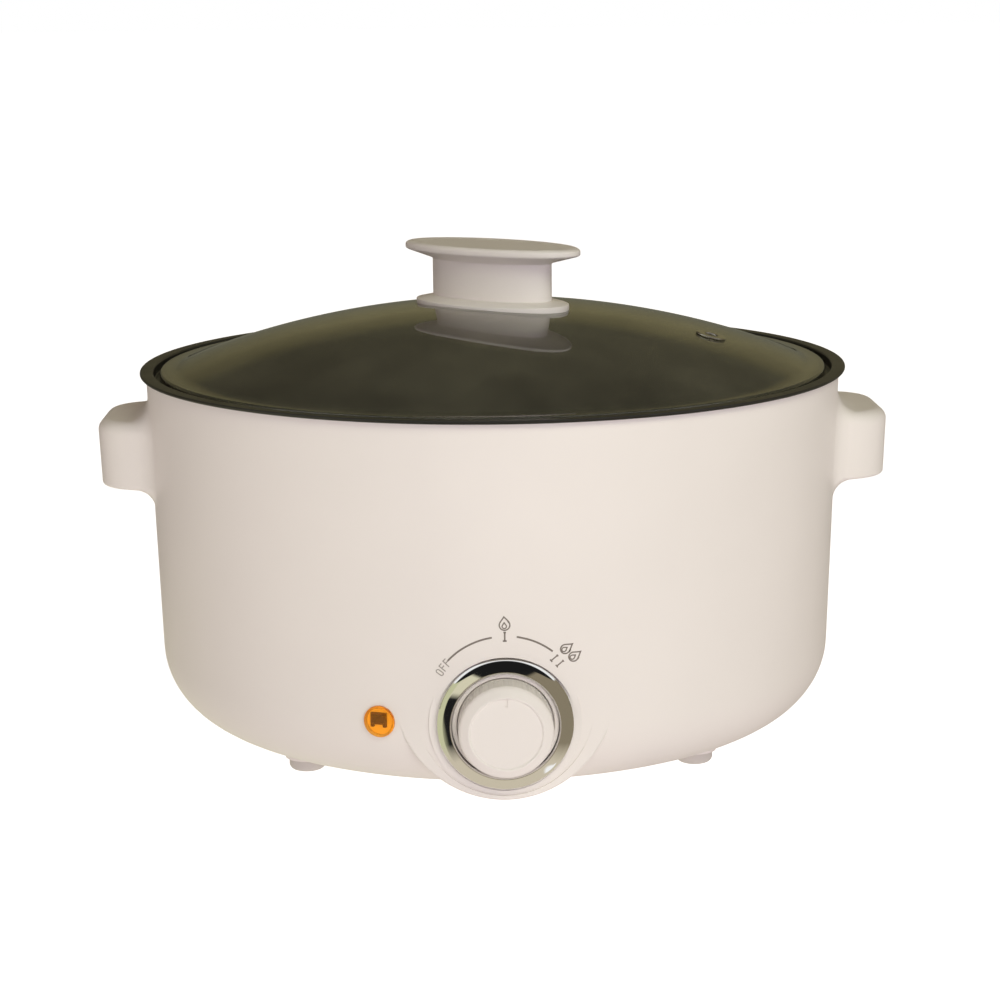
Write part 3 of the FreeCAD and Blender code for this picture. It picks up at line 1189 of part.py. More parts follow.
def earth_wire():
    """From the earth pin to the ring terminal."""
    x = EARTH_PLACE[0]
    height = INLET_HEIGHT + EARTH_PIN_RISE
    barrel_end = EARTH_BARREL_START + EARTH_BARREL
    return wire([(x, INLET_SLEEVE_Y, height),
                 (x, INLET_SLEEVE_Y - LEAD_OUT / 2, height),
                 (x, barrel_end + LEAD_OUT / 2, EARTH_LINE),
                 (x, barrel_end, EARTH_LINE)], WIRE_RADIUS)


def lamp_wire(side):
    """From the back of the lamp to an inner tab of the switch."""
    lamp_back = LAMP_REACH + SHADE_BACK - PLUG_FLOOR
    azimuth = math.radians(LAMP_AZIMUTH)
    along = V(math.sin(azimuth), -math.cos(azimuth), 0)
    across = V(math.cos(azimuth), math.sin(azimuth), 0) * (side * BULB_RADIUS)
    lamp = along * lamp_back + across
    inner = along * (lamp_back - LEAD_OUT) + across
    sleeve_side = WIRE_RADIUS + LAMP_WIRE_RADIUS + LAMP_WIRE_GAP
    x = SWITCH_TAB_X[1] + (side - 1) / 2 * SWITCH_TAB_PITCH - sleeve_side
    return wire([(lamp.x, lamp.y, LAMP_HEIGHT),
                 (inner.x, inner.y, LAMP_HEIGHT),
                 (x - LEAD_OUT + side * BULB_RADIUS, SWITCH_SLEEVE_Y + LEAD_OUT + RUN_BOW,
                  RUN_HEIGHT + RUN_BOW - side * BULB_RADIUS),
                 (x, SWITCH_SLEEVE_Y + LEAD_OUT / 2, SWITCH_WIRE_Z),
                 (x, SWITCH_SLEEVE_Y, SWITCH_WIRE_Z)], LAMP_WIRE_RADIUS)


# ---- Lid ----------------------------------------------------------------------------------------
def dome_height(radius_at, sphere_radius):
    """Height of the dome's sphere at a distance from the axis."""
    return DOME_CENTRE + math.sqrt(sphere_radius ** 2 - radius_at ** 2)


def lid_glass():
    """Tempered glass: a shallow dome with a flat flange and a hole at the crown and at the vent."""
    inside = DOME_RADIUS - LID_GLASS
    foot_inside = math.sqrt(inside ** 2 - (LID_BOTTOM - DOME_CENTRE) ** 2)
    round_edge = LID_EDGE_ROUND
    middle = DOME_FOOT / 2
    crown = in_xz(SCREW_HOLE, dome_height(SCREW_HOLE, DOME_RADIUS))
    foot_out = in_xz(DOME_FOOT, LID_FLANGE_TOP)
    foot_in = in_xz(foot_inside, LID_BOTTOM)
    crown_in = in_xz(SCREW_HOLE, dome_height(SCREW_HOLE, inside))
    top_corner = rounded_corner(foot_out, in_xz(LID_RADIUS, LID_FLANGE_TOP),
                                in_xz(LID_RADIUS, LID_BOTTOM), round_edge)
    bottom_corner = rounded_corner(in_xz(LID_RADIUS, LID_FLANGE_TOP), in_xz(LID_RADIUS, LID_BOTTOM),
                                   foot_in, round_edge / 2)
    edges = [Part.Arc(crown, in_xz(middle, dome_height(middle, DOME_RADIUS)), foot_out).toShape()]
    line_to(edges, foot_out, top_corner[0])
    edges.append(Part.Arc(*top_corner).toShape())
    line_to(edges, top_corner[2], bottom_corner[0])
    edges.append(Part.Arc(*bottom_corner).toShape())
    line_to(edges, bottom_corner[2], foot_in)
    edges.append(Part.Arc(foot_in, in_xz(middle, dome_height(middle, inside)), crown_in).toShape())
    line_to(edges, crown_in, crown)
    glass = Part.Face(Part.Wire(edges)).revolve(ORIGIN, Z_AXIS, 360)
    glass.rotate(ORIGIN, Z_AXIS, SEAM_TURN)
    return glass.cut(at_vent(rod(0, 0, CROWN_INSIDE - LID_GLASS, VENT_HOLE, 3 * LID_GLASS)))


def at_vent(shape):
    """Move a shape modelled at the crown down the dome to the vent."""
    centre = V(0, 0, DOME_CENTRE)
    placed = shape.copy()
    placed.rotate(centre, V(0, 1, 0), math.degrees(math.asin(VENT_RADIUS / DOME_RADIUS)))
    placed.rotate(ORIGIN, Z_AXIS, VENT_AZIMUTH)
    return placed


def vent_eyelet():
    """Steel eyelet that lines the vent hole, rolled over on both sides of the glass."""
    sag = EYELET_RADIUS ** 2 / (2 * DOME_RADIUS)
    bend = EYELET_FLANGE * 0.45
    top = CROWN
    bottom = CROWN_INSIDE - 2 * sag
    return at_vent(turned([
        (EYELET_BORE, bottom - EYELET_FLANGE), (EYELET_RADIUS, bottom - EYELET_FLANGE, bend),
        (EYELET_RADIUS, bottom, bend), (EYELET_TUBE, bottom), (EYELET_TUBE, top),
        (EYELET_RADIUS, top, bend), (EYELET_RADIUS, top + EYELET_FLANGE, bend),
        (EYELET_BORE, top + EYELET_FLANGE)]))


def knob_turned(shape):
    """Turn the knob's oval to its angle on the lid."""
    placed = shape.copy()
    placed.rotate(ORIGIN, Z_AXIS, KNOB_TURN)
    return placed


def lid_knob():
    """Oval paddle on an oval hollow neck, with a boss for the insert."""
    outside = turned([(0, BASE_TOP), (NECK_HALF_WIDTH, BASE_TOP), (NECK_HALF_WIDTH, NECK_TOP, 1.0),
                      (KNOB_HALF_WIDTH, PADDLE_BOTTOM, KNOB_BOTTOM_ROUND),
                      (KNOB_HALF_WIDTH, KNOB_TOP, KNOB_TOP_ROUND),
                      (KNOB_HALF_WIDTH - 2 * KNOB_TOP_ROUND, KNOB_TOP, 0.8),
                      (KNOB_HALF_WIDTH - 3 * KNOB_TOP_ROUND, KNOB_TOP - KNOB_DISH, 0.8),
                      (0, KNOB_TOP - KNOB_DISH)])
    stretch = FreeCAD.Matrix()
    stretch.scale(V(KNOB_STRETCH, 1, 1))
    outside = outside.transformGeometry(stretch)
    hollow = oval(NECK_HALF_WIDTH - NECK_WALL, BASE_TOP, HOLLOW_TOP - BASE_TOP)
    boss = rod(0, 0, BASE_TOP, KNOB_BOSS, HOLLOW_TOP - BASE_TOP)
    insert_hole = rod(0, 0, BASE_TOP, INSERT_RADIUS, INSERT_LENGTH)
    screw_room = rod(0, 0, BASE_TOP, KNOB_SCREW_HOLE, HOLLOW_TOP - BASE_TOP - 1)
    return knob_turned(outside.cut(hollow.cut(boss)).cut([insert_hole, screw_room]))


def knob_base():
    """Oval foot of the knob, hollowed underneath to sit on the dome."""
    bottom = CROWN - DOME_RISE / 4
    plate = oval(BASE_HALF_WIDTH, bottom, BASE_TOP - bottom)
    rims = [edge for edge in plate.Edges
            if edge.BoundBox.ZLength < 0.01 and edge.BoundBox.ZMin > BASE_TOP - 0.01]
    plate = plate.makeFillet(BASE_ROUND, rims)
    dome = Part.makeSphere(DOME_RADIUS + BASE_GASKET, V(0, 0, DOME_CENTRE))
    return knob_turned(plate.cut([dome, rod(0, 0, bottom, KNOB_SCREW_HOLE, BASE_TOP - bottom)]))


def knob_gasket():
    """Thin silicone pad between the knob's foot and the glass."""
    bottom = CROWN - DOME_RISE / 4
    pad = oval(BASE_HALF_WIDTH - 1, bottom, BASE_TOP - bottom)
    outer = Part.makeSphere(DOME_RADIUS + BASE_GASKET, V(0, 0, DOME_CENTRE))
    inner = Part.makeSphere(DOME_RADIUS, V(0, 0, DOME_CENTRE))
    return knob_turned(pad.common(outer).cut([inner, rod(0, 0, bottom, SCREW_HOLE, BASE_TOP - bottom)]))


def knob_insert():
    """Threaded brass insert in the knob's boss."""
    return tube(0, 0, BASE_TOP, INSERT_RADIUS, KNOB_SCREW_HOLE, INSERT_LENGTH)


def lower_gasket():
    """Silicone washer under the glass, shaped to its inside."""
    bottom = CROWN_INSIDE - LOWER_GASKET
    disc = tube(0, 0, bottom, LOWER_GASKET_RADIUS, KNOB_SCREW_HOLE, LOWER_GASKET)
    return disc.common(Part.makeSphere(DOME_RADIUS - LID_GLASS, V(0, 0, DOME_CENTRE)))


def knob_washer():
    """Steel washer under the silicone one."""
    return tube(0, 0, CROWN_INSIDE - LOWER_GASKET - KNOB_WASHER, KNOB_WASHER_RADIUS, KNOB_SCREW_HOLE,
                KNOB_WASHER)


def knob_screw():
    """Screw from inside the lid up into the insert."""
    seat = CROWN_INSIDE - LOWER_GASKET - KNOB_WASHER
    head = turned([(0, seat - KNOB_SCREW_HEAD_HEIGHT), (KNOB_SCREW_HEAD, seat - KNOB_SCREW_HEAD_HEIGHT, 1.6),
                   (KNOB_SCREW_HEAD, seat), (0, seat)])
    shank = rod(0, 0, seat, KNOB_SCREW_RADIUS, BASE_TOP + INSERT_LENGTH - seat)
    slots = [block(0, 0, seat - 1.5 * KNOB_SCREW_HEAD_HEIGHT, length, width, KNOB_SCREW_HEAD_HEIGHT)
             for length, width in ((KNOB_SCREW_CROSS, CROSS_WIDTH), (CROSS_WIDTH, KNOB_SCREW_CROSS))]
    return fused([head, shank]).cut(slots)


# ---- All nodes ----------------------------------------------------------------------------------
NODES = {
    "housing": housing(),
    "pan": pan(),
    "pan_seal": pan_seal(),
    "heater_plate": heater_plate(),
    "heating_element": element_shape(ELEMENT_RADIUS),
    "element_tabs": element_tabs(),
    "heat_shield": heat_shield(),
    "pan_studs": pan_studs(),
    "stud_spacers": stud_spacers(),
    "stud_washers": stud_washers(),
    "stud_nuts": stud_nuts(),
    "shield_screws": placed_screws(SHIELD_SCREW_PLACES, SHIELD_TOP, SCREW_LENGTH - 1, False),
    "thermostat": thermostat(),
    "thermostat_tabs": thermostat_tabs(),
    "thermostat_screws": placed_screws([(0, -THERMOSTAT_EAR), (0, THERMOSTAT_EAR)],
                                       PLATE_BOTTOM - THERMOSTAT_FLANGE, THERMOSTAT_SCREW, True),
    "heater_sleeves": heater_sleeves(),
    "base_cover": base_cover(),
    "cover_screws": placed_screws(COVER_SCREW_PLACES, FOOT_HEIGHT, SCREW_LENGTH - 1, True),
    "dial_bezel": dial_bezel(),
    "dial_knob": dial_knob(),
    "switch_case": switch_case(),
    "switch_lid": switch_lid(),
    "switch_tabs": switch_tabs(),
    "switch_rotor": switch_rotor(),
    "switch_screws": switch_screws(),
    "switch_sleeves": switch_sleeves(),
    "lamp_lens": lamp_lens(),
    "lamp_clip": lamp_clip(),
    "lamp_plug": lamp_plug(),
    "lamp_shade": lamp_shade(),
    "neon_bulb": neon_bulb(),
    "lamp_wires": group([lamp_wire(-1), lamp_wire(1)]),
    "inlet_body": inlet_body(),
    "inlet_pins": inlet_pins(),
    "inlet_screws": inlet_screws(),
    "inlet_sleeves": inlet_sleeves(),
    "live_wire": mains_wire(1),
    "neutral_wire": mains_wire(-1),
    "thermostat_wire": thermostat_wire(),
    "tail_wire": tail_wire(),
    "fused_wires": fused_wires(),
    "thermal_fuse": thermal_fuse(),
    "earth_tag": earth_tag(),
    "earth_screw": earth_screw(),
    "earth_wire": earth_wire(),
    "lid_glass": lid_glass(),
    "vent_eyelet": vent_eyelet(),
    "lid_knob": lid_knob(),
    "knob_base": knob_base(),
    "knob_gasket": knob_gasket(),
    "knob_insert": knob_insert(),
    "lower_gasket": lower_gasket(),
    "knob_washer": knob_washer(),
    "knob_screw": knob_screw(),
}
for number, (x, y) in enumerate(FOOT_PLACES, 1):
    NODES["foot_%d" % number] = foot(x, y)

os.makedirs("parts", exist_ok=True)
for name, shape in NODES.items():
    shape.exportStep("parts/%s.step" % name)
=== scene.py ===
import json
import math
import bpy
from mathutils import Matrix, Vector


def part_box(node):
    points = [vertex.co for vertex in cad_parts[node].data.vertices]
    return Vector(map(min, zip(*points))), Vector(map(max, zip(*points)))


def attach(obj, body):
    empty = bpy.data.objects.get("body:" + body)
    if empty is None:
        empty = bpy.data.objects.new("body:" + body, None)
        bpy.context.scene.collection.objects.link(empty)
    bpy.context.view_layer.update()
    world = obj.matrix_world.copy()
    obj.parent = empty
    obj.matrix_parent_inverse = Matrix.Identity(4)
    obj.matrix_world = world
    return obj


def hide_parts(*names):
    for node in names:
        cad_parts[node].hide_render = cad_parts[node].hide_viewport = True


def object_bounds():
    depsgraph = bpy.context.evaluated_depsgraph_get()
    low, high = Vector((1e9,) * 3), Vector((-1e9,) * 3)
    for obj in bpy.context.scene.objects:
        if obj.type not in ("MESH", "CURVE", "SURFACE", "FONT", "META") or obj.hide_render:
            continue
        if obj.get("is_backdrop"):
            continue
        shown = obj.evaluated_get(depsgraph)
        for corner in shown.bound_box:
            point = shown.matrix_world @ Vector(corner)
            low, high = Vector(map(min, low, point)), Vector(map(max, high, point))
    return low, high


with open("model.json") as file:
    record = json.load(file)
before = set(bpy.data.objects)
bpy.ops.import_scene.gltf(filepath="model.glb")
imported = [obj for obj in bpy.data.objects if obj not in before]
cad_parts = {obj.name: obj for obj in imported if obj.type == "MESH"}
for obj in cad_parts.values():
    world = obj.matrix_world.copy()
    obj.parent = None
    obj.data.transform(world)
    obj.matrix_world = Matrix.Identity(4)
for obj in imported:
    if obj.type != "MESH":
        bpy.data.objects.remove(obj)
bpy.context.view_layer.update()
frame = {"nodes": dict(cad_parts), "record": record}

# ---- Drum ----------------------------------------------------------------------------------------
# One injection-moulded shell in cream polypropylene: the drum with both ears, the round visor under
# the dial and the turret for the mains inlet. Spark erosion of the mould left a very fine grain.
mm = 0.001


def new_group(name, inputs, outputs):
    """Empty shader node group; inputs and outputs map socket names to start values or kinds."""
    group = bpy.data.node_groups.new(name, "ShaderNodeTree")
    for socket, value in inputs.items():
        kind = "NodeSocketColor" if hasattr(value, "__len__") else "NodeSocketFloat"
        group.interface.new_socket(socket, in_out="INPUT", socket_type=kind).default_value = value
    for socket, kind in outputs.items():
        group.interface.new_socket(socket, in_out="OUTPUT", socket_type="NodeSocket" + kind)
    return group, group.nodes.new("NodeGroupInput").outputs, group.nodes.new("NodeGroupOutput").inputs


def noise(tree, coordinates, scale, detail=2.0, roughness=0.5):
    """Noise texture on the given coordinates; its Fac output comes back."""
    node = tree.nodes.new("ShaderNodeTexNoise")
    node.inputs["Scale"].default_value = scale
    node.inputs["Detail"].default_value = detail
    node.inputs["Roughness"].default_value = roughness
    tree.links.new(coordinates, node.inputs["Vector"])
    return node.outputs["Fac"]


def feed(tree, socket, value):
    """Give an input socket a number, or link it to an output."""
    if isinstance(value, (int, float)):
        socket.default_value = value
    else:
        tree.links.new(value, socket)


def calculate(tree, operation, *values):
    """Math node on outputs or numbers."""
    node = tree.nodes.new("ShaderNodeMath")
    node.operation = operation
    for socket, value in zip(node.inputs, values):
        feed(tree, socket, value)
    return node.outputs[0]


def spread(tree, factor, low, high, to_low=0.0, to_high=1.0):
    """Map a factor from low..high to to_low..to_high, held at both ends."""
    node = tree.nodes.new("ShaderNodeMapRange")
    for socket, value in zip(node.inputs, (factor, low, high, to_low, to_high)):
        feed(tree, socket, value)
    return node.outputs["Result"]


def shaded(tree, colour, factor):
    """Colour multiplied by a factor."""
    node = tree.nodes.new("ShaderNodeVectorMath")
    node.operation = "SCALE"
    tree.links.new(colour, node.inputs[0])
    tree.links.new(factor, node.inputs["Scale"])
    return node.outputs["Vector"]


moulded_skin, skin_in, skin_out = new_group(
    "moulded_skin",
    {"Color": (0.8, 0.8, 0.8, 1.0), "Roughness": 0.4, "Grain Scale": 1400.0, "Mottle": 0.02},
    {"Color": "Color", "Roughness": "Float", "Height": "Float"})
place = moulded_skin.nodes.new("ShaderNodeTexCoord").outputs["Object"]
grain = noise(moulded_skin, place, 1400.0, 3.0)
moulded_skin.links.new(skin_in["Grain Scale"], grain.node.inputs["Scale"])
cloud = calculate(moulded_skin, "SUBTRACT", noise(moulded_skin, place, 14.0, 3.0), 0.5)
mottle = calculate(moulded_skin, "MULTIPLY", skin_in["Mottle"], 4.0)
swing = calculate(moulded_skin, "MULTIPLY", cloud, mottle)
clouded = calculate(moulded_skin, "ADD", swing, 1.0)
feed(moulded_skin, skin_out["Color"], shaded(moulded_skin, skin_in["Color"], clouded))
rub = spread(moulded_skin, noise(moulded_skin, place, 45.0, 5.0, 0.6), 0.3, 0.7, 0.88, 1.12)
feed(moulded_skin, skin_out["Roughness"], calculate(moulded_skin, "MULTIPLY", skin_in["Roughness"], rub))
feed(moulded_skin, skin_out["Height"], grain)


def finished(name, group, values, grain_height, sockets):
    """Material with colour, roughness and bump from a skin group; sockets are plain shader values."""
    material = bpy.data.materials.new(name)
    material.use_nodes = True
    tree = material.node_tree
    shader = tree.nodes["Principled BSDF"]
    skin = tree.nodes.new("ShaderNodeGroup")
    skin.node_tree = group
    for socket, value in values.items():
        skin.inputs[socket].default_value = (*value, 1.0) if hasattr(value, "__len__") else value
    bump = tree.nodes.new("ShaderNodeBump")
    bump.inputs["Distance"].default_value = grain_height * mm
    tree.links.new(skin.outputs["Height"], bump.inputs["Height"])
    tree.links.new(skin.outputs["Color"], shader.inputs["Base Color"])
    tree.links.new(skin.outputs["Roughness"], shader.inputs["Roughness"])
    tree.links.new(bump.outputs["Normal"], shader.inputs["Normal"])
    for socket, value in sockets.items():
        shader.inputs[socket].default_value = value
    return material


def moulded(name, colour, roughness, grain_scale=1400.0, grain_height=0.004, mottle=0.02, **sockets):
    """Moulded plastic or rubber: one colour with faint clouds and a fine grain."""
    values = {"Color": colour, "Roughness": roughness, "Grain Scale": grain_scale, "Mottle": mottle}
    plain = {socket.replace("_", " "): value for socket, value in sockets.items()}
    return finished(name, moulded_skin, values, grain_height, plain)


def dress(material, *nodes):
    """Give CAD nodes their material."""
    for name in nodes:
        slots = frame["nodes"][name].data.materials
        slots.clear()
        slots.append(material)


cream = moulded("cream_plastic", (0.82, 0.77, 0.73), 0.42, grain_height=0.006)
dress(cream, "housing")

# ---- Marks round the dial ------------------------------------------------------------------------
# Pad-printed in warm grey ink, a few hundredths of a millimetre thick: OFF, an arc up to setting I
# with its flame, and an arc on to setting II with two flames.
MARKS_FRONT = -0.16          # in m: the flat marks start here, in front of the drum
INK = 0.05                   # thickness of the ink; this and the sizes below are in mm
INK_GAP = 0.01               # from the drum's skin to the ink
ARC_LINE = 0.7
FLAME_HEIGHT = 5.9
FLAME_LINE = 0.50
INNER_WIDTH = 2.1            # small flame in the belly
INNER_HEIGHT = 2.9
INNER_LINE = 0.45
NICK_WIDTH = 0.55            # short stroke across the flame's right side
NICK_LENGTH = 1.0
NICK_TURN = -35.0
OFF_HEIGHT = 3.4
OFF_LINE = 0.42
FLAME_PULLS = ((50.0, 0.06), (38.0, 0.11), (28.0, 0.19), (17.0, 0.26), (6.0, 0.38))


def deselect():
    """Leave object selection empty before a new piece is added."""
    bpy.ops.object.select_all(action="DESELECT")


def settle(piece, name):
    """Name a finished piece and put its place into its mesh."""
    piece.name = name
    deselect()
    piece.select_set(True)
    bpy.context.view_layer.objects.active = piece
    bpy.ops.object.transform_apply(location=True, rotation=True, scale=True)
    return piece


def bar(x, z, width, length, turn=0.0):
    """Flat upright bar of ink in mm, turned clockwise in degrees."""
    deselect()
    bpy.ops.mesh.primitive_plane_add(size=1.0, location=(x * mm, MARKS_FRONT, z * mm),
                                     rotation=(math.pi / 2, math.radians(turn), 0.0))
    piece = bpy.context.active_object
    piece.scale = (width * mm, length * mm, 1.0)
    return settle(piece, "bar")


def arc(x, z, radius, start, end, width, steps=30):
    """Arc of ink about (x, z), its ends in degrees clockwise from the top."""
    angle = math.radians(start)
    piece = bar(x + radius * math.sin(angle), z + radius * math.cos(angle), width, 0.02, start + 90.0)
    bpy.ops.object.mode_set(mode="EDIT")
    bpy.ops.mesh.select_all(action="SELECT")
    bpy.ops.mesh.remove_doubles(threshold=0.05 * mm)
    bpy.ops.mesh.spin(steps=steps, angle=math.radians(start - end), center=(x * mm, MARKS_FRONT, z * mm),
                      axis=(0.0, 1.0, 0.0))
    bpy.ops.object.mode_set(mode="OBJECT")
    return piece


def drop(x, z, width, height, line, turn, lean):
    """Outline of a flame: a round belly of this width drawn up to a tip.

    Each pull moves the points less than an angle off the top by a share of the way to the tip.
    """
    deselect()
    bpy.ops.mesh.primitive_circle_add(vertices=32, radius=width / 2 * mm, fill_type="NGON")
    piece = bpy.context.active_object
    off_top = [abs(math.degrees(math.atan2(vertex.co.x, vertex.co.y))) for vertex in piece.data.vertices]
    for reach, share in FLAME_PULLS:
        bpy.ops.object.mode_set(mode="EDIT")
        bpy.ops.mesh.select_all(action="DESELECT")
        bpy.ops.object.mode_set(mode="OBJECT")
        for vertex, angle in zip(piece.data.vertices, off_top):
            vertex.select = angle < reach
        bpy.ops.object.mode_set(mode="EDIT")
        bpy.ops.transform.translate(value=(lean * share * mm, (height - width) * share * mm, 0.0))
        bpy.ops.object.mode_set(mode="OBJECT")
    bpy.ops.object.mode_set(mode="EDIT")
    bpy.ops.mesh.select_mode(type="FACE")
    bpy.ops.mesh.select_all(action="SELECT")
    bpy.ops.mesh.inset(thickness=line * mm)
    bpy.ops.mesh.delete(type="FACE")
    bpy.ops.mesh.select_mode(type="VERT")
    bpy.ops.object.mode_set(mode="OBJECT")
    piece.location = (x * mm, MARKS_FRONT, z * mm)
    piece.rotation_euler = (math.pi / 2, math.radians(turn), 0.0)
    return settle(piece, "drop")


def joined(pieces, name):
    """Several pieces made one."""
    deselect()
    for piece in pieces:
        piece.select_set(True)
    bpy.context.view_layer.objects.active = pieces[0]
    bpy.ops.object.join()
    pieces[0].name = name
    return pieces[0]


def turned_place(x, z, along, across, turn):
    """Point that lies along and across a direction turned clockwise from the top."""
    sine, cosine = math.sin(math.radians(turn)), math.cos(math.radians(turn))
    return x + along * sine + across * cosine, z + along * cosine - across * sine


def numeral(x, z, length, stroke, foot, head, turn=0.0):
    """The numeral I: a stroke with a serif at its foot and a shorter one at its head."""
    ends = [turned_place(x, z, side * (length - stroke) / 2, 0.0, turn) for side in (-1, 1)]
    serifs = [bar(*end, width, stroke, turn) for end, width in zip(ends, (foot, head))]
    return [bar(x, z, stroke, length, turn)] + serifs


def flame(x, z, width, turn=0.0):
    """A flame with a smaller flame in its belly and a nick in its right side."""
    inner = turned_place(x, z, -0.50, -0.10, turn)
    nick = turned_place(x, z, 1.20, 1.50, turn)
    return [drop(x, z, width, FLAME_HEIGHT, FLAME_LINE, turn, -0.3),
            drop(*inner, INNER_WIDTH, INNER_HEIGHT, INNER_LINE, turn, -0.1),
            bar(*nick, NICK_WIDTH, NICK_LENGTH, turn + NICK_TURN)]


def letter_f(x, z, turn, width=1.6):
    """The letter F from a stem and two arms."""
    stem = turned_place(x, z, 0.0, -(width - OFF_LINE) / 2, turn)
    arms = [turned_place(x, z, rise * OFF_HEIGHT, 0.0, turn) for rise in (0.44, 0.06)]
    return [bar(*stem, OFF_LINE, OFF_HEIGHT, turn)] + [bar(*arm, width, OFF_LINE, turn) for arm in arms]


def letter_o(x, z, turn, width=1.75):
    """The letter O from two straight sides and two round ends."""
    radius = (width - OFF_LINE) / 2
    half = OFF_HEIGHT / 2 - OFF_LINE / 2 - radius
    sides = [bar(*turned_place(x, z, 0.0, side * radius, turn), OFF_LINE, 2 * half, turn)
             for side in (-1, 1)]
    top = turned_place(x, z, half, 0.0, turn)
    foot = turned_place(x, z, -half, 0.0, turn)
    return sides + [arc(*top, radius, turn - 90, turn + 90, OFF_LINE, 10),
                    arc(*foot, radius, turn + 90, turn + 270, OFF_LINE, 10)]


def print_on_drum(piece, material):
    """Lay flat marks on the drum's skin and give the ink its thickness."""
    bpy.ops.object.mode_set(mode="EDIT")
    bpy.ops.mesh.select_all(action="SELECT")
    bpy.ops.mesh.remove_doubles(threshold=0.01 * mm)
    bpy.ops.mesh.normals_make_consistent(inside=False)
    bpy.ops.mesh.select_mode(type="FACE")
    bpy.ops.mesh.select_all(action="DESELECT")
    bpy.ops.object.mode_set(mode="OBJECT")
    for face in piece.data.polygons:
        face.select = face.normal.y > 0.0
    bpy.ops.object.mode_set(mode="EDIT")
    bpy.ops.mesh.flip_normals()
    bpy.ops.mesh.select_mode(type="VERT")
    bpy.ops.object.mode_set(mode="OBJECT")
    wrap = piece.modifiers.new("on_the_drum", "SHRINKWRAP")
    wrap.target = frame["nodes"]["housing"]
    wrap.wrap_method = "PROJECT"
    wrap.use_project_y = True
    wrap.use_positive_direction = True
    wrap.wrap_mode = "ABOVE_SURFACE"
    wrap.offset = INK_GAP * mm
    bpy.ops.object.modifier_apply(modifier=wrap.name)
    ink = piece.modifiers.new("ink", "SOLIDIFY")
    ink.thickness = INK * mm
    ink.offset = 1.0
    bpy.ops.object.modifier_apply(modifier=ink.name)
    piece.data.materials.append(material)
    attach(piece, "base")


grey_ink = moulded("grey_ink", (0.215, 0.185, 0.160), 0.5, 900.0, 0.004, 0.06)
faint_ink = moulded("faint_grey_ink", (0.36, 0.325, 0.29), 0.5, 900.0, 0.004, 0.06)

scale_marks = [arc(-0.2, 43.3, 28.6, -48.4, -9.4, ARC_LINE), arc(0.0, 43.8, 28.2, 9.2, 39.9, ARC_LINE)]
scale_marks += numeral(-0.03, 71.80, 3.95, 0.6, 1.5, 0.95)
scale_marks += numeral(18.70, 62.75, 3.6, 0.5, 1.3, 0.9, 51.5)
scale_marks += numeral(20.85, 60.50, 3.6, 0.5, 1.3, 0.9, 51.5)
scale_marks += flame(-0.05, 76.35, 4.5) + flame(22.90, 66.05, 4.1, 59.0) + flame(26.05, 62.85, 4.1, 59.0)
print_on_drum(joined(scale_marks, "dial_marks"), grey_ink)

off_marks = letter_o(-24.67, 57.58, -54.0)
off_marks += letter_f(-23.40, 59.60, -50.0) + letter_f(-21.95, 61.50, -46.0)
print_on_drum(joined(off_marks, "off_mark"), faint_ink)

# ---- Pan -----------------------------------------------------------------------------------------
# Drawn from one sheet of aluminium, with a ledge for the lid and a flat flange over the drum's top
# edge, and sprayed inside and out with a satin black non-stick coating.
PAN_RIM = 150.0
PAN_RIM_TOP = 155.0
PAN_RIM_ROUND = 0.585
PAN_SHEET = 1.3
PAN_STEP = 144.3             # step between the ledge and the flange
PAN_STEP_ROUND = 0.8
PAN_LEDGE = 151.0
PAN_MOUTH = 136.8
PAN_FLOOR = 62.0
PAN_FLOOR_RADIUS = 132.3
PAN_CORNER = 24.0


def rounded(corners, steps=6):
    """Outline of (radius, height, rounding) corners with each rounding cut into short steps."""
    points = []
    for index, corner in enumerate(corners):
        here = Vector(corner[:2])
        size = corner[2] if len(corner) > 2 else 0.0
        if size == 0.0:
            points.append(here)
            continue
        back = (Vector(corners[index - 1][:2]) - here).normalized()
        ahead = (Vector(corners[(index + 1) % len(corners)][:2]) - here).normalized()
        half = back.angle(ahead) / 2
        centre = here + (back + ahead).normalized() * size / math.sin(half)
        start = here + back * size / math.tan(half) - centre
        turn = start.angle_signed(here + ahead * size / math.tan(half) - centre)
        for step in range(steps + 1):
            points.append(centre + Matrix.Rotation(-turn * step / steps, 2) @ start)
    return points


def traced(name, points, closed=True):
    """Chain of edges through points in mm; it is left in edit mode with all of it selected."""
    deselect()
    bpy.ops.mesh.primitive_plane_add(size=mm)
    piece = bpy.context.active_object
    piece.name = name
    bpy.ops.object.mode_set(mode="EDIT")
    bpy.ops.mesh.merge(type="CENTER")
    here = Vector((0.0, 0.0, 0.0))
    for index, point in enumerate(points + points[:closed]):
        target = Vector(point) * mm
        if index == 0:
            bpy.ops.transform.translate(value=target - here)
        else:
            bpy.ops.mesh.extrude_vertices_move(TRANSFORM_OT_translate={"value": target - here})
        here = target
    bpy.ops.mesh.select_all(action="SELECT")
    bpy.ops.mesh.remove_doubles(threshold=0.001 * mm)
    return piece


def lathed(name, points, steps=256, sharp=35.0):
    """Piece spun about the upright axis from an outline of (radius, height) in mm.

    An outline that starts on the axis stays open there, and any other is closed.
    """
    piece = traced(name, [(point[0], 0.0, point[1]) for point in points], points[0][0] > 0.0)
    bpy.ops.mesh.spin(steps=steps, angle=2 * math.pi, center=(0.0, 0.0, 0.0), axis=(0.0, 0.0, 1.0))
    bpy.ops.mesh.remove_doubles(threshold=0.001 * mm)
    bpy.ops.mesh.dissolve_degenerate(threshold=0.001 * mm)
    bpy.ops.mesh.normals_make_consistent(inside=False)
    bpy.ops.object.mode_set(mode="OBJECT")
    bpy.ops.object.shade_smooth_by_angle(angle=math.radians(sharp))
    return piece


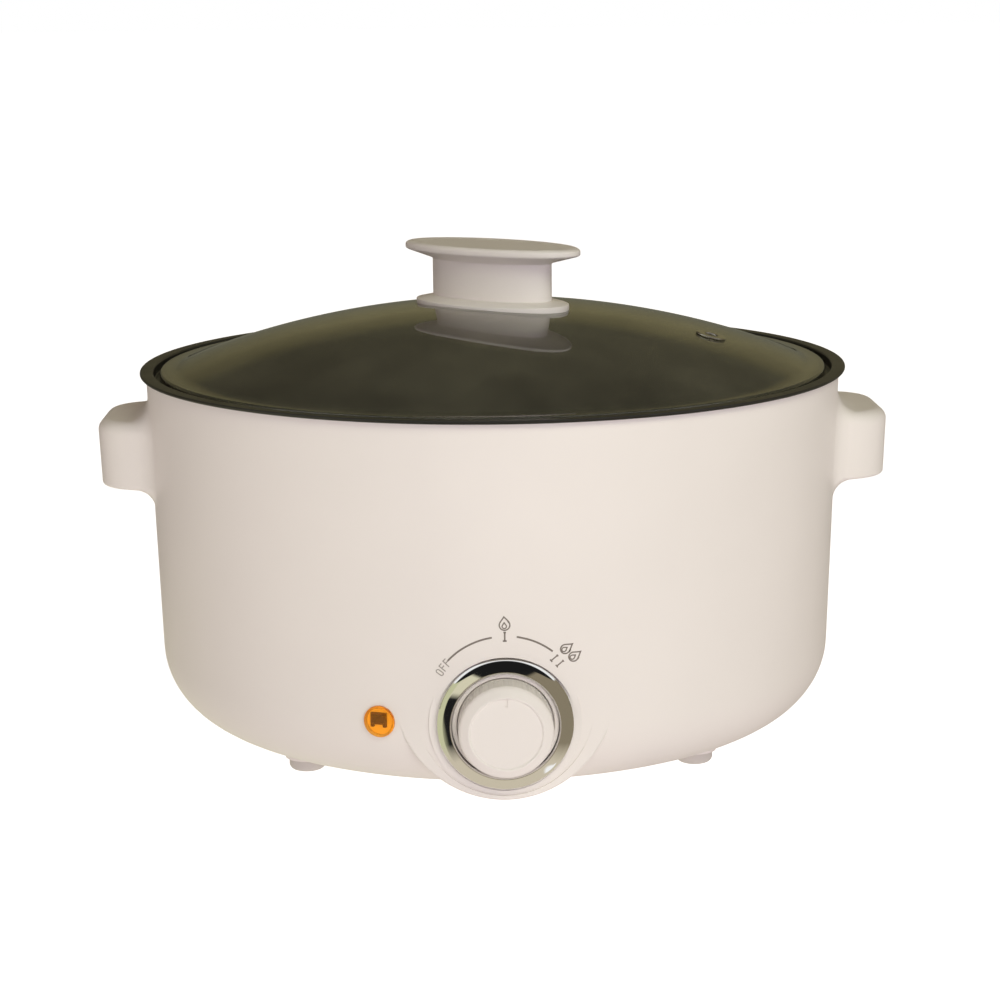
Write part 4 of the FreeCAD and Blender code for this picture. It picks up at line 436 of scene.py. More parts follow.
def stands_for(piece, node, material):
    """The piece rides with the CAD node it replaces and takes that node's finish."""
    piece.data.materials.clear()
    piece.data.materials.append(material)
    body = next(name for name, nodes in frame["record"]["behaviour"]["bodies"].items() if node in nodes)
    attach(piece, body)
    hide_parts(node)


coating = moulded("nonstick_coating", (0.018, 0.017, 0.0145), 0.38, 900.0, 0.012, 0.08)
bend = PAN_SHEET + PAN_STEP_ROUND
coated_pan = lathed("coated_pan", rounded([
    (0.0, PAN_FLOOR), (PAN_FLOOR_RADIUS, PAN_FLOOR, PAN_CORNER), (PAN_MOUTH, PAN_LEDGE, bend),
    (PAN_STEP, PAN_LEDGE, PAN_STEP_ROUND), (PAN_STEP, PAN_RIM_TOP, PAN_STEP_ROUND),
    (PAN_RIM, PAN_RIM_TOP, PAN_RIM_ROUND), (PAN_RIM, PAN_RIM_TOP - PAN_SHEET, PAN_RIM_ROUND),
    (PAN_STEP + PAN_SHEET, PAN_RIM_TOP - PAN_SHEET), (PAN_STEP + PAN_SHEET, PAN_LEDGE - PAN_SHEET, bend),
    (PAN_MOUTH + PAN_SHEET, PAN_LEDGE - PAN_SHEET, PAN_STEP_ROUND),
    (PAN_FLOOR_RADIUS + PAN_SHEET, PAN_FLOOR - PAN_SHEET, PAN_CORNER + PAN_SHEET),
    (0.0, PAN_FLOOR - PAN_SHEET)], 8))
stands_for(coated_pan, "pan", coating)

silicone = moulded("red_silicone", (0.34, 0.048, 0.022), 0.65, 700.0, 0.01, 0.05)
dress(silicone, "pan_seal")

# ---- Lid glass -----------------------------------------------------------------------------------
# Smoked toughened glass, 4 mm thick, sagged to a shallow dome in a ring mould with a flat edge, with
# a hole for the knob's screw. It lies loose on the pan's ledge.
LID_EDGE = 141.7
LID_EDGE_ROUND = 1.2
LID_THICK = 4.0
LID_SEAT = 151.0
DOME_FOOT = 136.0            # radius at which the dome meets the flat edge
DOME_RISE = 25.6
DOME_STEPS = 40
CROWN_HOLE = 4.5             # radius of the hole for the knob's screw
VENT_OUT = 95.0              # the vent's distance from the axis
VENT_TURN = -17.5
VENT_HOLE = 4.2
dome_radius = (DOME_FOOT ** 2 + DOME_RISE ** 2) / (2 * DOME_RISE)
crown = LID_SEAT + LID_THICK + DOME_RISE
dome_centre = crown - dome_radius


def dome_points(radius, start, end):
    """Points of a dome's arc between two distances from the axis."""
    reaches = [start + (end - start) * index / DOME_STEPS for index in range(DOME_STEPS + 1)]
    return [Vector((reach, dome_centre + math.sqrt(radius ** 2 - reach ** 2))) for reach in reaches]


def cut(piece, cutter):
    """Take a cutter's shape out of a piece; the cutter stays."""
    deselect()
    piece.select_set(True)
    bpy.context.view_layer.objects.active = piece
    hole = piece.modifiers.new("cut", "BOOLEAN")
    hole.object = cutter
    hole.operation = "DIFFERENCE"
    bpy.ops.object.modifier_apply(modifier=hole.name)
    bpy.ops.object.shade_smooth_by_angle(angle=math.radians(25.0))


def move_to_vent(piece):
    """Move a piece made at the crown down the dome to the vent."""
    centre = Matrix.Translation((0.0, 0.0, dome_centre * mm))
    swing_out = Matrix.Rotation(math.asin(VENT_OUT / dome_radius), 4, "Y")
    around = Matrix.Rotation(math.radians(VENT_TURN), 4, "Z")
    piece.matrix_world = around @ centre @ swing_out @ centre.inverted()
    return settle(piece, piece.name)


inside = dome_radius - LID_THICK
foot_inside = math.sqrt(inside ** 2 - (LID_SEAT - dome_centre) ** 2)
edge = rounded([(DOME_FOOT, LID_SEAT + LID_THICK), (LID_EDGE, LID_SEAT + LID_THICK, LID_EDGE_ROUND),
                (LID_EDGE, LID_SEAT, LID_EDGE_ROUND / 2), (foot_inside, LID_SEAT)])
domed_glass = lathed("domed_glass", dome_points(dome_radius, CROWN_HOLE, DOME_FOOT)[:-1] + edge
                     + dome_points(inside, foot_inside, CROWN_HOLE)[1:], sharp=25.0)
# Known fault: move_to_vent drops the drill's own height, so it ends under the lid and the glass stays
# whole behind the eyelet.
deselect()
bpy.ops.mesh.primitive_cylinder_add(vertices=64, radius=VENT_HOLE * mm, depth=5 * LID_THICK * mm,
                                    location=(0.0, 0.0, (crown - LID_THICK / 2) * mm))
drill = move_to_vent(bpy.context.active_object)
cut(domed_glass, drill)
bpy.data.objects.remove(drill)

handled_glass, glass_in, glass_out = new_group(
    "handled_glass", {"Color": (0.4, 0.4, 0.35, 1.0), "Roughness": 0.02, "Smear": 0.1},
    {"Color": "Color", "Roughness": "Float", "Height": "Float"})
place = handled_glass.nodes.new("ShaderNodeTexCoord").outputs["Object"]
smear = spread(handled_glass, noise(handled_glass, place, 22.0, 4.0, 0.6), 0.54, 0.72)
matt = calculate(handled_glass, "MULTIPLY", smear, glass_in["Smear"])
feed(handled_glass, glass_out["Roughness"], calculate(handled_glass, "ADD", glass_in["Roughness"], matt))
tone = spread(handled_glass, noise(handled_glass, place, 26.0, 4.0, 0.6), 0.35, 0.70, 0.85, 1.45)
feed(handled_glass, glass_out["Color"], shaded(handled_glass, glass_in["Color"], tone))
feed(handled_glass, glass_out["Height"], noise(handled_glass, place, 16.0, 1.0))
smoked_glass = finished("smoked_glass", handled_glass,
                        {"Color": (0.30, 0.29, 0.22), "Roughness": 0.03, "Smear": 0.12},
                        0.02, {"Transmission Weight": 0.86, "IOR": 1.5})
stands_for(domed_glass, "lid_glass", smoked_glass)

# ---- Vent eyelet ---------------------------------------------------------------------------------
# Stainless tube rolled over on both sides of the glass, so that steam leaves through its bore.
metal_skin, metal_in, metal_out = new_group(
    "metal_skin", {"Color": (0.6, 0.6, 0.6, 1.0), "Roughness": 0.3, "Grain Scale": 300.0, "Stain": 0.1},
    {"Color": "Color", "Roughness": "Float", "Height": "Float"})
place = metal_skin.nodes.new("ShaderNodeTexCoord").outputs["Object"]
worn = noise(metal_skin, place, 120.0, 6.0, 0.65)
off_mean = calculate(metal_skin, "SUBTRACT", worn, 0.5)
stain = calculate(metal_skin, "MULTIPLY", off_mean, metal_in["Stain"])
stained = calculate(metal_skin, "ADD", stain, 1.0)
feed(metal_skin, metal_out["Color"], shaded(metal_skin, metal_in["Color"], stained))
wear = spread(metal_skin, worn, 0.3, 0.7, 0.8, 1.25)
feed(metal_skin, metal_out["Roughness"], calculate(metal_skin, "MULTIPLY", metal_in["Roughness"], wear))
metal_grain = noise(metal_skin, place, 300.0, 2.0)
metal_skin.links.new(metal_in["Grain Scale"], metal_grain.node.inputs["Scale"])
feed(metal_skin, metal_out["Height"], metal_grain)


def metal(name, colour, roughness, grain_scale=300.0, grain_height=0.002, stain=0.15):
    """Bare or plated metal with faint stains and a grain."""
    values = {"Color": colour, "Roughness": roughness, "Grain Scale": grain_scale, "Stain": stain}
    return finished(name, metal_skin, values, grain_height, {"Metallic": 1.0})


EYELET_EDGE = 6.4
EYELET_TUBE = 4.0
EYELET_BORE = 2.6
EYELET_ROLL = 0.9
under_glass = crown - LID_THICK - EYELET_EDGE ** 2 / dome_radius
steel = metal("stainless_steel", (0.55, 0.53, 0.49), 0.22)
eyelet = lathed("rolled_eyelet", rounded([
    (EYELET_BORE, under_glass - EYELET_ROLL, 0.5), (EYELET_EDGE, under_glass - EYELET_ROLL, 0.4),
    (EYELET_EDGE, under_glass, 0.4), (EYELET_TUBE, under_glass), (EYELET_TUBE, crown),
    (EYELET_EDGE, crown, 0.4), (EYELET_EDGE, crown + EYELET_ROLL, 0.4),
    (EYELET_BORE, crown + EYELET_ROLL, 0.6)]), 64)
stands_for(move_to_vent(eyelet), "vent_eyelet", steel)

# ---- Knob ----------------------------------------------------------------------------------------
# Oval paddle and neck in one moulding over an oval foot, both in the drum's cream plastic. A screw
# from inside the lid goes through two silicone pads and the glass into a brass insert.
BASE_HALF_LENGTH = 38.0
BASE_HALF_WIDTH = 22.0
BASE_TOP = 2.03              # height over the crown at the neck
BASE_DROP = 1.5              # the edge is this much lower
BASE_GAP = 0.45              # from the glass to the hollow's roof
NECK_OUT = 17.8              # half width of the flat that carries the neck
BASE_EDGE_ROUND = 0.5
BASE_BLANK = 6.0             # the foot reaches this far below the crown
HOLLOW_REACH = 60.0          # the hollow's radius
HOLLOW_DEPTH = 20.0
KNOB_TURN = -40.6
dress(cream, "lid_knob")
foot = lathed("knob_foot", rounded([
    (0.0, crown - BASE_BLANK), (BASE_HALF_WIDTH, crown - BASE_BLANK),
    (BASE_HALF_WIDTH, crown + BASE_TOP - BASE_DROP, BASE_EDGE_ROUND),
    (NECK_OUT, crown + BASE_TOP), (0.0, crown + BASE_TOP)]), 128)
foot.scale.x = BASE_HALF_LENGTH / BASE_HALF_WIDTH
foot.rotation_euler.z = math.radians(KNOB_TURN)
settle(foot, foot.name)
# Known fault: this hollow takes nothing off the foot, which so reaches down through the glass.
under_foot = dome_points(dome_radius + BASE_GAP, 0.0, HOLLOW_REACH)
hollow = lathed("hollow", under_foot + [Vector((HOLLOW_REACH, crown - HOLLOW_DEPTH)),
                                        Vector((0.0, crown - HOLLOW_DEPTH))])
cut(foot, hollow)
bpy.data.objects.remove(hollow)
stands_for(foot, "knob_base", cream)
pad_silicone = moulded("clear_silicone", (0.55, 0.55, 0.50), 0.55, 700.0, 0.006, 0.03)
dress(pad_silicone, "knob_gasket", "lower_gasket")
zinc = metal("zinc_plated_steel", (0.55, 0.55, 0.56), 0.32, 500.0, 0.004, 0.3)
dress(zinc, "knob_washer", "knob_screw")
brass = metal("plain_brass", (0.62, 0.40, 0.13), 0.30, 400.0, 0.003, 0.25)
dress(brass, "knob_insert")

# ---- Bezel ---------------------------------------------------------------------------------------
# Injection-moulded ring with bright chromium plating, snapped over the drum's collar. Its rounded
# slope falls from an inner crest to a thin outer edge.
DIAL_SEAT = -0.142           # in m: plane of the ring's seat
DIAL_HEIGHT = 0.037          # in m: the dial's axis over the floor
BEZEL_EDGE = 26.05           # this and the sizes below are in mm
BEZEL_EDGE_TOP = 2.3
BEZEL_SHOULDER = 25.05       # the slope starts here
BEZEL_SHOULDER_TOP = 3.6
BEZEL_SLOPE_ROUND = 4.0
BEZEL_CREST = 21.1
BEZEL_TOP = 5.0
BEZEL_BORE = 20.6
BEZEL_BORE_TOP = 4.6


def move_to_dial(piece):
    """Place a piece made about the upright axis on the dial's seat, facing the front."""
    facing = Matrix.Rotation(math.pi / 2, 4, "X")
    piece.matrix_world = Matrix.Translation((0.0, DIAL_SEAT, DIAL_HEIGHT)) @ facing
    return settle(piece, piece.name)


chrome = metal("bright_chrome", (0.86, 0.86, 0.85), 0.05, 200.0, 0.0004, 0.02)
bezel = lathed("chrome_bezel", rounded([
    (BEZEL_BORE, 0.0), (BEZEL_EDGE, 0.0), (BEZEL_EDGE, BEZEL_EDGE_TOP, 0.35),
    (BEZEL_SHOULDER, BEZEL_SHOULDER_TOP, BEZEL_SLOPE_ROUND), (BEZEL_CREST, BEZEL_TOP, 0.6),
    (BEZEL_BORE, BEZEL_BORE_TOP, 0.2)], 10), 192)
stands_for(move_to_dial(bezel), "dial_bezel", chrome)

# ---- Dial ----------------------------------------------------------------------------------------
# Hollow moulded cap with shallow flutes and a dished face, pushed on the flat of the switch shaft.
dress(cream, "dial_knob")

# ---- Pilot lamp ----------------------------------------------------------------------------------
# Amber lens with a slightly domed face inside a thin rim, on a white body that a spring washer holds
# behind the drum's wall. A dark square tube with two short legs stands in the body, round the neon bulb.
LAMP_TURN = -19.4
LAMP_HEIGHT = 0.0368         # in m: the lamp's axis over the floor
LENS_EDGE = 6.2              # this and the sizes below are in mm, heights from the drum's skin
LENS_BODY = 5.35
LENS_BACK = -0.2
LENS_PROUD = 1.2
LENS_LIP = 5.5               # inner edge of the thin rim
LENS_FACE = 5.2
LENS_FACE_DROP = 0.35        # the face's edge lies this much below the rim
TUBE_WIDTH = 6.2             # dark square tube
TUBE_LEFT = 0.6              # its middle, left of the lamp's axis
TUBE_TOP = 3.1
TUBE_BOTTOM = -1.4
TUBE_LEG = 1.3               # width of the two legs under its lower wall
TUBE_LEG_END = -2.4
TUBE_WALL = 0.6
TUBE_FRONT = -0.3
TUBE_MOUTH = 0.7             # its room opens this far above the skin
TUBE_LENGTH = 12.0
BODY_FRONT = -1.5
LAMP_BACK = -15.3
NYLON = (0.90, 0.88, 0.83)
toward = Vector((math.sin(math.radians(LAMP_TURN)), -math.cos(math.radians(LAMP_TURN)), 0.0))
cad_lens = frame["nodes"]["lamp_lens"]
lens_front = max((cad_lens.matrix_world @ vertex.co).dot(toward) for vertex in cad_lens.data.vertices)
lens_skin = lens_front / mm - LENS_PROUD


def move_to_lamp(piece):
    """Place a piece made about the upright axis on the drum's skin at the lamp."""
    around = Matrix.Rotation(math.radians(LAMP_TURN), 4, "Z")
    facing = Matrix.Rotation(math.pi / 2, 4, "X")
    piece.matrix_world = (around @ Matrix.Translation((0.0, 0.0, LAMP_HEIGHT)) @ facing
                          @ Matrix.Translation((0.0, 0.0, lens_skin * mm)))
    return settle(piece, piece.name)


def prism(name, outline, top, depth):
    """Upright prism on a closed outline of (x, y) in mm, down from its top."""
    piece = traced(name, [(*point, top) for point in outline])
    bpy.ops.mesh.edge_face_add()
    bpy.ops.mesh.extrude_region_move(TRANSFORM_OT_translate={"value": (0.0, 0.0, -depth * mm)})
    bpy.ops.mesh.select_all(action="SELECT")
    bpy.ops.mesh.normals_make_consistent(inside=False)
    bpy.ops.object.mode_set(mode="OBJECT")
    return piece


# The lens's faint orange emission is painted glow: the lamp is unlit and gives no light.
amber = moulded("amber_lens", (1.0, 0.56, 0.10), 0.12, 250.0, 0.001, 0.02, Transmission_Weight=0.95,
                IOR=1.35, Emission_Color=(1.0, 0.25, 0.0, 1.0), Emission_Strength=0.04)
lens = lathed("amber_lens", rounded([
    (0.0, LENS_BACK), (LENS_BODY, LENS_BACK), (LENS_BODY, 0.0), (LENS_EDGE, 0.0),
    (LENS_EDGE, LENS_PROUD - 0.25, 0.4), (LENS_LIP, LENS_PROUD, 0.3),
    (LENS_FACE, LENS_PROUD - LENS_FACE_DROP, 0.2), (3.0, LENS_PROUD - 0.10, 4.0),
    (0.0, LENS_PROUD - 0.05)]), 96)
stands_for(move_to_lamp(lens), "lamp_lens", amber)

left, right = -TUBE_LEFT - TUBE_WIDTH / 2, TUBE_WIDTH / 2 - TUBE_LEFT
tube = prism("lamp_tube", [
    (left, TUBE_TOP), (right, TUBE_TOP), (right, TUBE_LEG_END), (right - TUBE_LEG, TUBE_LEG_END),
    (right - TUBE_LEG, TUBE_BOTTOM), (left + TUBE_LEG, TUBE_BOTTOM), (left + TUBE_LEG, TUBE_LEG_END),
    (left, TUBE_LEG_END)], TUBE_FRONT, TUBE_LENGTH)
body = lathed("lamp_body", [(0.0, LAMP_BACK), (LENS_BODY, LAMP_BACK), (LENS_BODY, BODY_FRONT),
                            (0.0, BODY_FRONT)], 96)
cut(body, tube)
room = prism("room", [
    (left + TUBE_WALL, TUBE_TOP - TUBE_WALL), (right - TUBE_WALL, TUBE_TOP - TUBE_WALL),
    (right - TUBE_WALL, TUBE_BOTTOM + TUBE_WALL), (left + TUBE_WALL, TUBE_BOTTOM + TUBE_WALL)],
    TUBE_MOUTH, TUBE_LENGTH)
cut(tube, room)
bpy.data.objects.remove(room)
bakelite = moulded("brown_bakelite", (0.060, 0.030, 0.014), 0.5, 600.0, 0.006, 0.10)
stands_for(move_to_lamp(tube), "lamp_shade", bakelite)
dress(bakelite, "thermostat")
# The lamp body's amber emission is painted light: it stands in for daylight that comes in through the
# lens and lights the white nylon. The lamp itself is unlit.
painted_glow_nylon = moulded("painted_glow_nylon", NYLON, 0.45, 500.0, 0.004, 0.03,
                    Emission_Color=(1.0, 0.77, 0.23, 1.0), Emission_Strength=0.4)
stands_for(move_to_lamp(body), "lamp_plug", painted_glow_nylon)
nylon = moulded("white_nylon", NYLON, 0.45, 500.0, 0.004, 0.03)
dress(nylon, "switch_rotor")
bulb_glass = finished("bulb_glass", handled_glass,
                      {"Color": (0.92, 0.84, 0.74), "Roughness": 0.04, "Smear": 0.05},
                      0.004, {"Transmission Weight": 1.0, "IOR": 1.5})
dress(bulb_glass, "neon_bulb")
dress(zinc, "lamp_clip")

# ---- Feet ----------------------------------------------------------------------------------------
# Four grey rubber feet, each pushed with a barbed stem into a boss under the drum. A ring groove
# underneath keeps them from slipping.
FOOT_EDGE = 7.5
FOOT_ROUND = 2.4
FOOT_FLAT = 5.2              # top of the foot, under the drum's boss
STEM = 3.0
BARB = 3.8
BARB_FOOT = 8.7
foot_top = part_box("foot_1")[1][2] / mm
rubber = moulded("foot_rubber", (0.60, 0.56, 0.52), 0.65, 500.0, 0.01, 0.04)
rubber_feet = [lathed("rubber_foot_1", rounded([
    (0.0, 0.6), (2.2, 0.6, 0.3), (2.6, 0.0, 0.3), (3.9, 0.0, 0.3), (4.1, 0.5, 0.2), (4.7, 0.5, 0.2),
    (4.9, 0.0, 0.3), (FOOT_EDGE, 0.0, FOOT_ROUND), (FOOT_EDGE, FOOT_FLAT, 0.3), (STEM, FOOT_FLAT),
    (STEM, BARB_FOOT), (BARB, BARB_FOOT), (2.0, foot_top), (0.0, foot_top)]), 64)]
for number in range(2, 5):
    rubber_feet.append(bpy.data.objects.new("rubber_foot_%d" % number, rubber_feet[0].data.copy()))
    bpy.context.scene.collection.objects.link(rubber_feet[-1])
for number, rubber_foot in enumerate(rubber_feet, 1):
    low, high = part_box("foot_%d" % number)
    rubber_foot.location = ((low[0] + high[0]) / 2, (low[1] + high[1]) / 2, 0.0)
    stands_for(settle(rubber_foot, rubber_foot.name), "foot_%d" % number, rubber)

# ---- Bottom cover --------------------------------------------------------------------------------
# Flat moulded plate with two rings of vent slots, held by four self-tapping screws.
cover_plastic = moulded("cover_plastic", (0.62, 0.575, 0.525), 0.6, 700.0, 0.02, 0.03)
dress(cover_plastic, "base_cover")
dress(zinc, "cover_screws")

# ---- Heater --------------------------------------------------------------------------------------
# Cast plate brazed under the pan with a sheathed ring element in its groove, a screwed-on disc
# thermostat, and a folded steel shield clamped by studs and nuts.
cast = metal("cast_aluminium", (0.62, 0.62, 0.63), 0.52, 260.0, 0.03, 0.2)
dress(cast, "heater_plate")
sheath = metal("oxidised_sheath", (0.16, 0.145, 0.13), 0.45, 240.0, 0.006, 0.5)
dress(sheath, "heating_element")
dress(zinc, "heat_shield", "pan_studs", "stud_spacers", "stud_washers", "stud_nuts", "shield_screws",
      "thermostat_screws")
dress(brass, "element_tabs", "thermostat_tabs")

# ---- Switch --------------------------------------------------------------------------------------
# Rotary switch in a black moulded case, screwed behind the dial's seat, with four brass tabs.
black = moulded("black_plastic", (0.022, 0.022, 0.023), 0.48, 700.0, 0.008, 0.06)
dress(black, "switch_case", "switch_lid")
dress(brass, "switch_tabs")
dress(zinc, "switch_screws")

# ---- Mains inlet ---------------------------------------------------------------------------------
# Black three-pin appliance inlet, screwed into the turret at the back.
dress(black, "inlet_body")
dress(brass, "inlet_pins")
dress(zinc, "inlet_screws")

# ---- Wires ---------------------------------------------------------------------------------------
# Silicone-insulated leads with push-on sleeves of natural nylon; a sleeved thermal fuse sits in one
# lead, and the earth lead ends in a ring tag under a screw.
sleeve_nylon = moulded("sleeve_nylon", (0.66, 0.62, 0.50), 0.42, 500.0, 0.003, 0.04,
                       Subsurface_Weight=0.2, Subsurface_Scale=0.002)
dress(sleeve_nylon, "heater_sleeves", "switch_sleeves", "inlet_sleeves")
for wire, colour, nodes in (("brown_wire", (0.105, 0.030, 0.010), ("live_wire", "thermostat_wire")),
                            ("blue_wire", (0.014, 0.060, 0.300), ("neutral_wire", "fused_wires")),
                            ("white_wire", (0.72, 0.70, 0.64), ("tail_wire", "lamp_wires")),
                            ("green_wire", (0.060, 0.230, 0.030), ("earth_wire",))):
    dress(moulded(wire, colour, 0.6, 600.0, 0.004, 0.06), *nodes)
glass_fibre = moulded("glass_fibre", (0.66, 0.60, 0.46), 0.55, 1200.0, 0.04, 0.05)
dress(glass_fibre, "thermal_fuse")
dress(zinc, "earth_tag", "earth_screw")

# ---- Studio --------------------------------------------------------------------------------------
# White paper floor and three soft lights in front: a high one and a low one at the right, a weak one at
# the left. Polished surfaces see a brown room with a green wall at the left and an olive room behind.
FLOOR_GLOW = (0.90, 0.84, 0.78)
ROOM_FRONT = (0.03, 0.03, 0.03)
ROOM_BACK = (0.34, 0.24, 0.18)
BROWN = (0.26, 0.22, 0.15)
BEIGE = (0.64, 0.57, 0.44)
PALE = (0.72, 0.68, 0.50)
GREEN = (0.60, 0.60, 0.38)
OLIVE = (0.16, 0.155, 0.11)
DARK = (0.012, 0.012, 0.012)
WHITE = (1.0, 1.0, 1.0)
PAPER = (0.62, 0.60, 0.57)
PAPER_GLOW = 0.95            # what the camera sees of the floor, over its own shading
FLOOR_SIZE = 60.0
FLOOR_EDGE = 0.006           # softness of the room's corners, seen in the floor
ROOM_EDGE = 0.03             # and seen in the room
GREEN_SLOPE = 0.85           # how far round to the front the green wall reaches
CORNER_SLOPE = 0.25
LIGHT_DISTANCE = 2.4
LIGHT_TARGET = Vector((0.0, 0.0, 0.08))
LENS_LENGTH = 84.56
CAMERA_PLACE = (-0.0244, -0.9997, 0.3049)
CAMERA_YAW = -math.radians(1.55)
CAMERA_DIP = 0.208           # radians below the horizon
CAMERA_ROLL = -0.0101
deselect()
bpy.ops.mesh.primitive_plane_add(size=FLOOR_SIZE)
floor = bpy.context.active_object
floor.name = "studio_floor"
paper = bpy.data.materials.new("pale_paper")
paper.use_nodes = True
sheet = paper.node_tree
paper_shader = sheet.nodes["Principled BSDF"]
paper_shader.inputs["Base Color"].default_value = (*PAPER, 1.0)
paper_shader.inputs["Roughness"].default_value = 0.9
paper_shader.inputs["Specular IOR Level"].default_value = 0.0


def ramp_of(tree, factor, stops):
    """Colour ramp from (position, colour) stops."""
    node = tree.nodes.new("ShaderNodeValToRGB")
    elements = node.color_ramp.elements
    for index, (position, colour) in enumerate(stops):
        element = elements[index] if index < 2 else elements.new(position)
        element.position = position
        element.color = (*colour, 1.0)
    tree.links.new(factor, node.inputs["Fac"])
    return node.outputs["Color"]


def blended(tree, factor, first, second):
    """Mix of two colours."""
    node = tree.nodes.new("ShaderNodeMix")
    node.data_type = "RGBA"
    feed(tree, node.inputs[0], factor)
    for socket, value in ((node.inputs[6], first), (node.inputs[7], second)):
        if hasattr(value, "__len__"):
            socket.default_value = (*value, 1.0)
        else:
            tree.links.new(value, socket)
    return node.outputs[2]


def split(tree, vector):
    """The three parts of a vector."""
    node = tree.nodes.new("ShaderNodeSeparateXYZ")
    tree.links.new(vector, node.inputs["Vector"])
    return node.outputs


def rays(tree):
    """Masks for camera rays, and for rays that met nothing but polished surfaces on their way."""
    path = tree.nodes.new("ShaderNodeLightPath")
    mirrored_ray, refracted_ray = path.outputs["Is Glossy Ray"], path.outputs["Is Transmission Ray"]
    polished = calculate(tree, "MAXIMUM", mirrored_ray, refracted_ray)
    straight = calculate(tree, "LESS_THAN", path.outputs["Diffuse Depth"], 0.5)
    return path.outputs["Is Camera Ray"], calculate(tree, "MULTIPLY", polished, straight)


def surroundings(tree, east, north, soft, corner):
    """What polished pieces see round them: brown, green at the left, a corner at the front left."""
    left, forward = (calculate(tree, "MULTIPLY", part, -1.0) for part in (east, north))
    beyond = calculate(tree, "SUBTRACT", left, calculate(tree, "MULTIPLY", forward, GREEN_SLOPE))
    within = calculate(tree, "SUBTRACT", left, calculate(tree, "MULTIPLY", forward, CORNER_SLOPE))
    colour = blended(tree, spread(tree, within, -soft, soft), BROWN, corner)
    return blended(tree, spread(tree, beyond, -soft, soft), colour, GREEN)


def away(tree, point, x, y):
    """Distance of a point from a place on the floor."""
    node = tree.nodes.new("ShaderNodeVectorMath")
    node.operation = "DISTANCE"
    tree.links.new(point, node.inputs[0])
    node.inputs[1].default_value = (x, y, 0.0)
    return node.outputs["Value"]


place = sheet.nodes.new("ShaderNodeTexCoord").outputs["Object"]
spot = split(sheet, place)
north_of_dial = calculate(sheet, "SUBTRACT", spot["Y"], DIAL_SEAT)
east_of_dial = calculate(sheet, "ADD", spot["X"], 0.02)
seen_floor = surroundings(sheet, east_of_dial, north_of_dial, FLOOR_EDGE, DARK)
# Painted reflections on the floor, seen only by polished surfaces: a beige patch near the dial gives the
# chrome ring its beige lower band, and a small white spot paints a glint into the ring.
for x, y, near, far, colour in ((0.0, -0.147, 0.04, 0.07, BEIGE), (0.03, -0.158, 0.005, 0.007, WHITE)):
    seen_floor = blended(sheet, spread(sheet, away(sheet, place, x, y), near, far), colour, seen_floor)
seen_floor = blended(sheet, spread(sheet, spot["Y"], 0.10, 0.25), seen_floor, OLIVE)
camera_ray, sharp_ray = rays(sheet)
unseen_glow = sheet.nodes.new("ShaderNodeEmission")
sheet.links.new(blended(sheet, sharp_ray, FLOOR_GLOW, seen_floor), unseen_glow.inputs["Color"])
seen_glow = sheet.nodes.new("ShaderNodeEmission")
seen_glow.inputs["Color"].default_value = (*WHITE, 1.0)
seen_glow.inputs["Strength"].default_value = PAPER_GLOW
seen_paper = sheet.nodes.new("ShaderNodeAddShader")
sheet.links.new(paper_shader.outputs[0], seen_paper.inputs[0])
sheet.links.new(seen_glow.outputs[0], seen_paper.inputs[1])
by_ray = sheet.nodes.new("ShaderNodeMixShader")
sheet.links.new(camera_ray, by_ray.inputs[0])
sheet.links.new(unseen_glow.outputs[0], by_ray.inputs[1])
sheet.links.new(seen_paper.outputs[0], by_ray.inputs[2])
sheet.links.new(by_ray.outputs[0], sheet.nodes["Material Output"].inputs["Surface"])
floor.data.materials.append(paper)
floor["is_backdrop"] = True

world = bpy.data.worlds.new("studio")
bpy.context.scene.world = world
world.use_nodes = True
sky = world.node_tree
direction = split(sky, sky.nodes.new("ShaderNodeTexCoord").outputs["Generated"])
height = direction["Z"]
soft_room = blended(sky, spread(sky, direction["Y"], -0.3, 0.4), ROOM_FRONT, ROOM_BACK)
room_behind = ramp_of(sky, height, ((0.0, OLIVE), (1.0, (0.11, 0.10, 0.07)),
                                    (0.20, (0.26, 0.23, 0.12)), (0.30, (0.21, 0.185, 0.095)),
                                    (0.37, (0.12, 0.11, 0.07))))
room_behind = shaded(sky, room_behind, spread(sky, direction["X"], -0.30, -0.08, 0.6, 1.0))
upper_front = blended(sky, spread(sky, direction["Y"], -0.36, -0.22), DARK, WHITE)
aside = calculate(sky, "MULTIPLY", calculate(sky, "ABSOLUTE", direction["X"]), 0.34)
raised = calculate(sky, "SUBTRACT", height, aside)
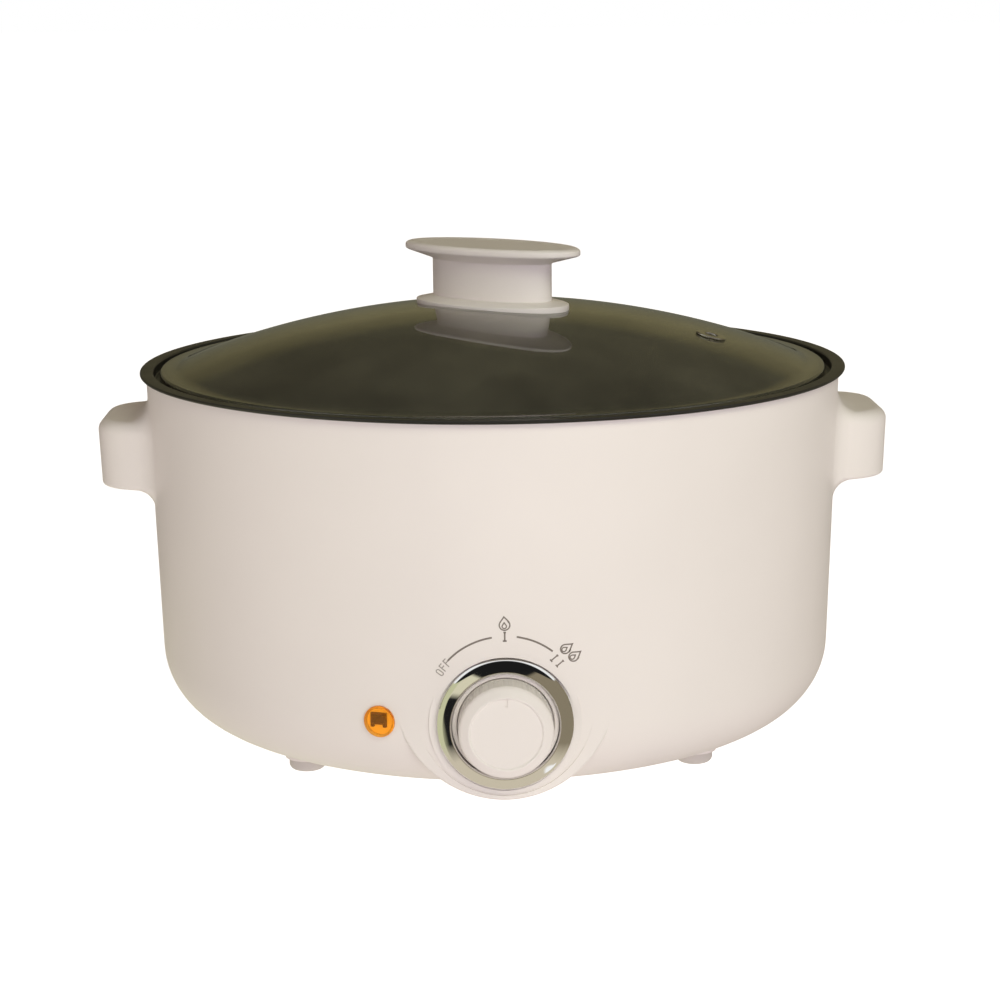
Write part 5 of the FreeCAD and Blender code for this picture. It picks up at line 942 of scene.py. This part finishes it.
corner = blended(sky, spread(sky, height, 0.02, 0.09), DARK, PALE)
lower_front = surroundings(sky, direction["X"], direction["Y"], ROOM_EDGE, corner)
room_front = blended(sky, spread(sky, raised, 0.17, 0.21), lower_front, upper_front)
mirrored = blended(sky, spread(sky, direction["Y"], 0.0, 0.25), room_front, room_behind)
camera_ray, sharp_ray = rays(sky)
seen = blended(sky, camera_ray, blended(sky, sharp_ray, soft_room, mirrored), WHITE)
sky.links.new(seen, sky.nodes["Background"].inputs["Color"])


def softbox(name, azimuth, elevation, width, height, power, tint):
    """Rectangular lamp that faces the pot; an azimuth of 0 is the front, positive to the right."""
    around, up = math.radians(azimuth), math.radians(elevation)
    outward = Vector((math.cos(up) * math.sin(around), -math.cos(up) * math.cos(around), math.sin(up)))
    spot = LIGHT_TARGET + LIGHT_DISTANCE * outward
    bpy.ops.object.light_add(type="AREA", location=spot)
    lamp = bpy.context.active_object
    lamp.name = name
    lamp.data.shape = "RECTANGLE"
    lamp.data.size, lamp.data.size_y = width, height
    lamp.data.energy = power
    lamp.data.color = tint
    lamp.rotation_euler = (LIGHT_TARGET - spot).to_track_quat("-Z", "Y").to_euler()
    lamp.visible_glossy = False


softbox("key_softbox", 18.0, 40.0, 1.8, 1.0, 25.4, (0.94, 1.0, 0.79))
softbox("low_softbox", 18.0, 10.0, 1.8, 0.8, 14.8, (0.87, 0.80, 1.0))
softbox("left_softbox", -35.0, 14.0, 1.8, 1.0, 5.8, (1.0, 0.87, 0.93))

bpy.ops.object.camera_add()
camera = bpy.context.active_object
camera.name = "product_camera"
camera.data.lens = LENS_LENGTH
camera.data.sensor_width = 36.0
camera.matrix_world = (Matrix.Translation(CAMERA_PLACE) @ Matrix.Rotation(CAMERA_YAW, 4, "Z")
                       @ Matrix.Rotation(math.pi / 2 - CAMERA_DIP, 4, "X")
                       @ Matrix.Rotation(CAMERA_ROLL, 4, "Z"))
bpy.context.scene.camera = camera
bpy.context.scene.view_settings.view_transform = "Standard"

low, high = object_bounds()
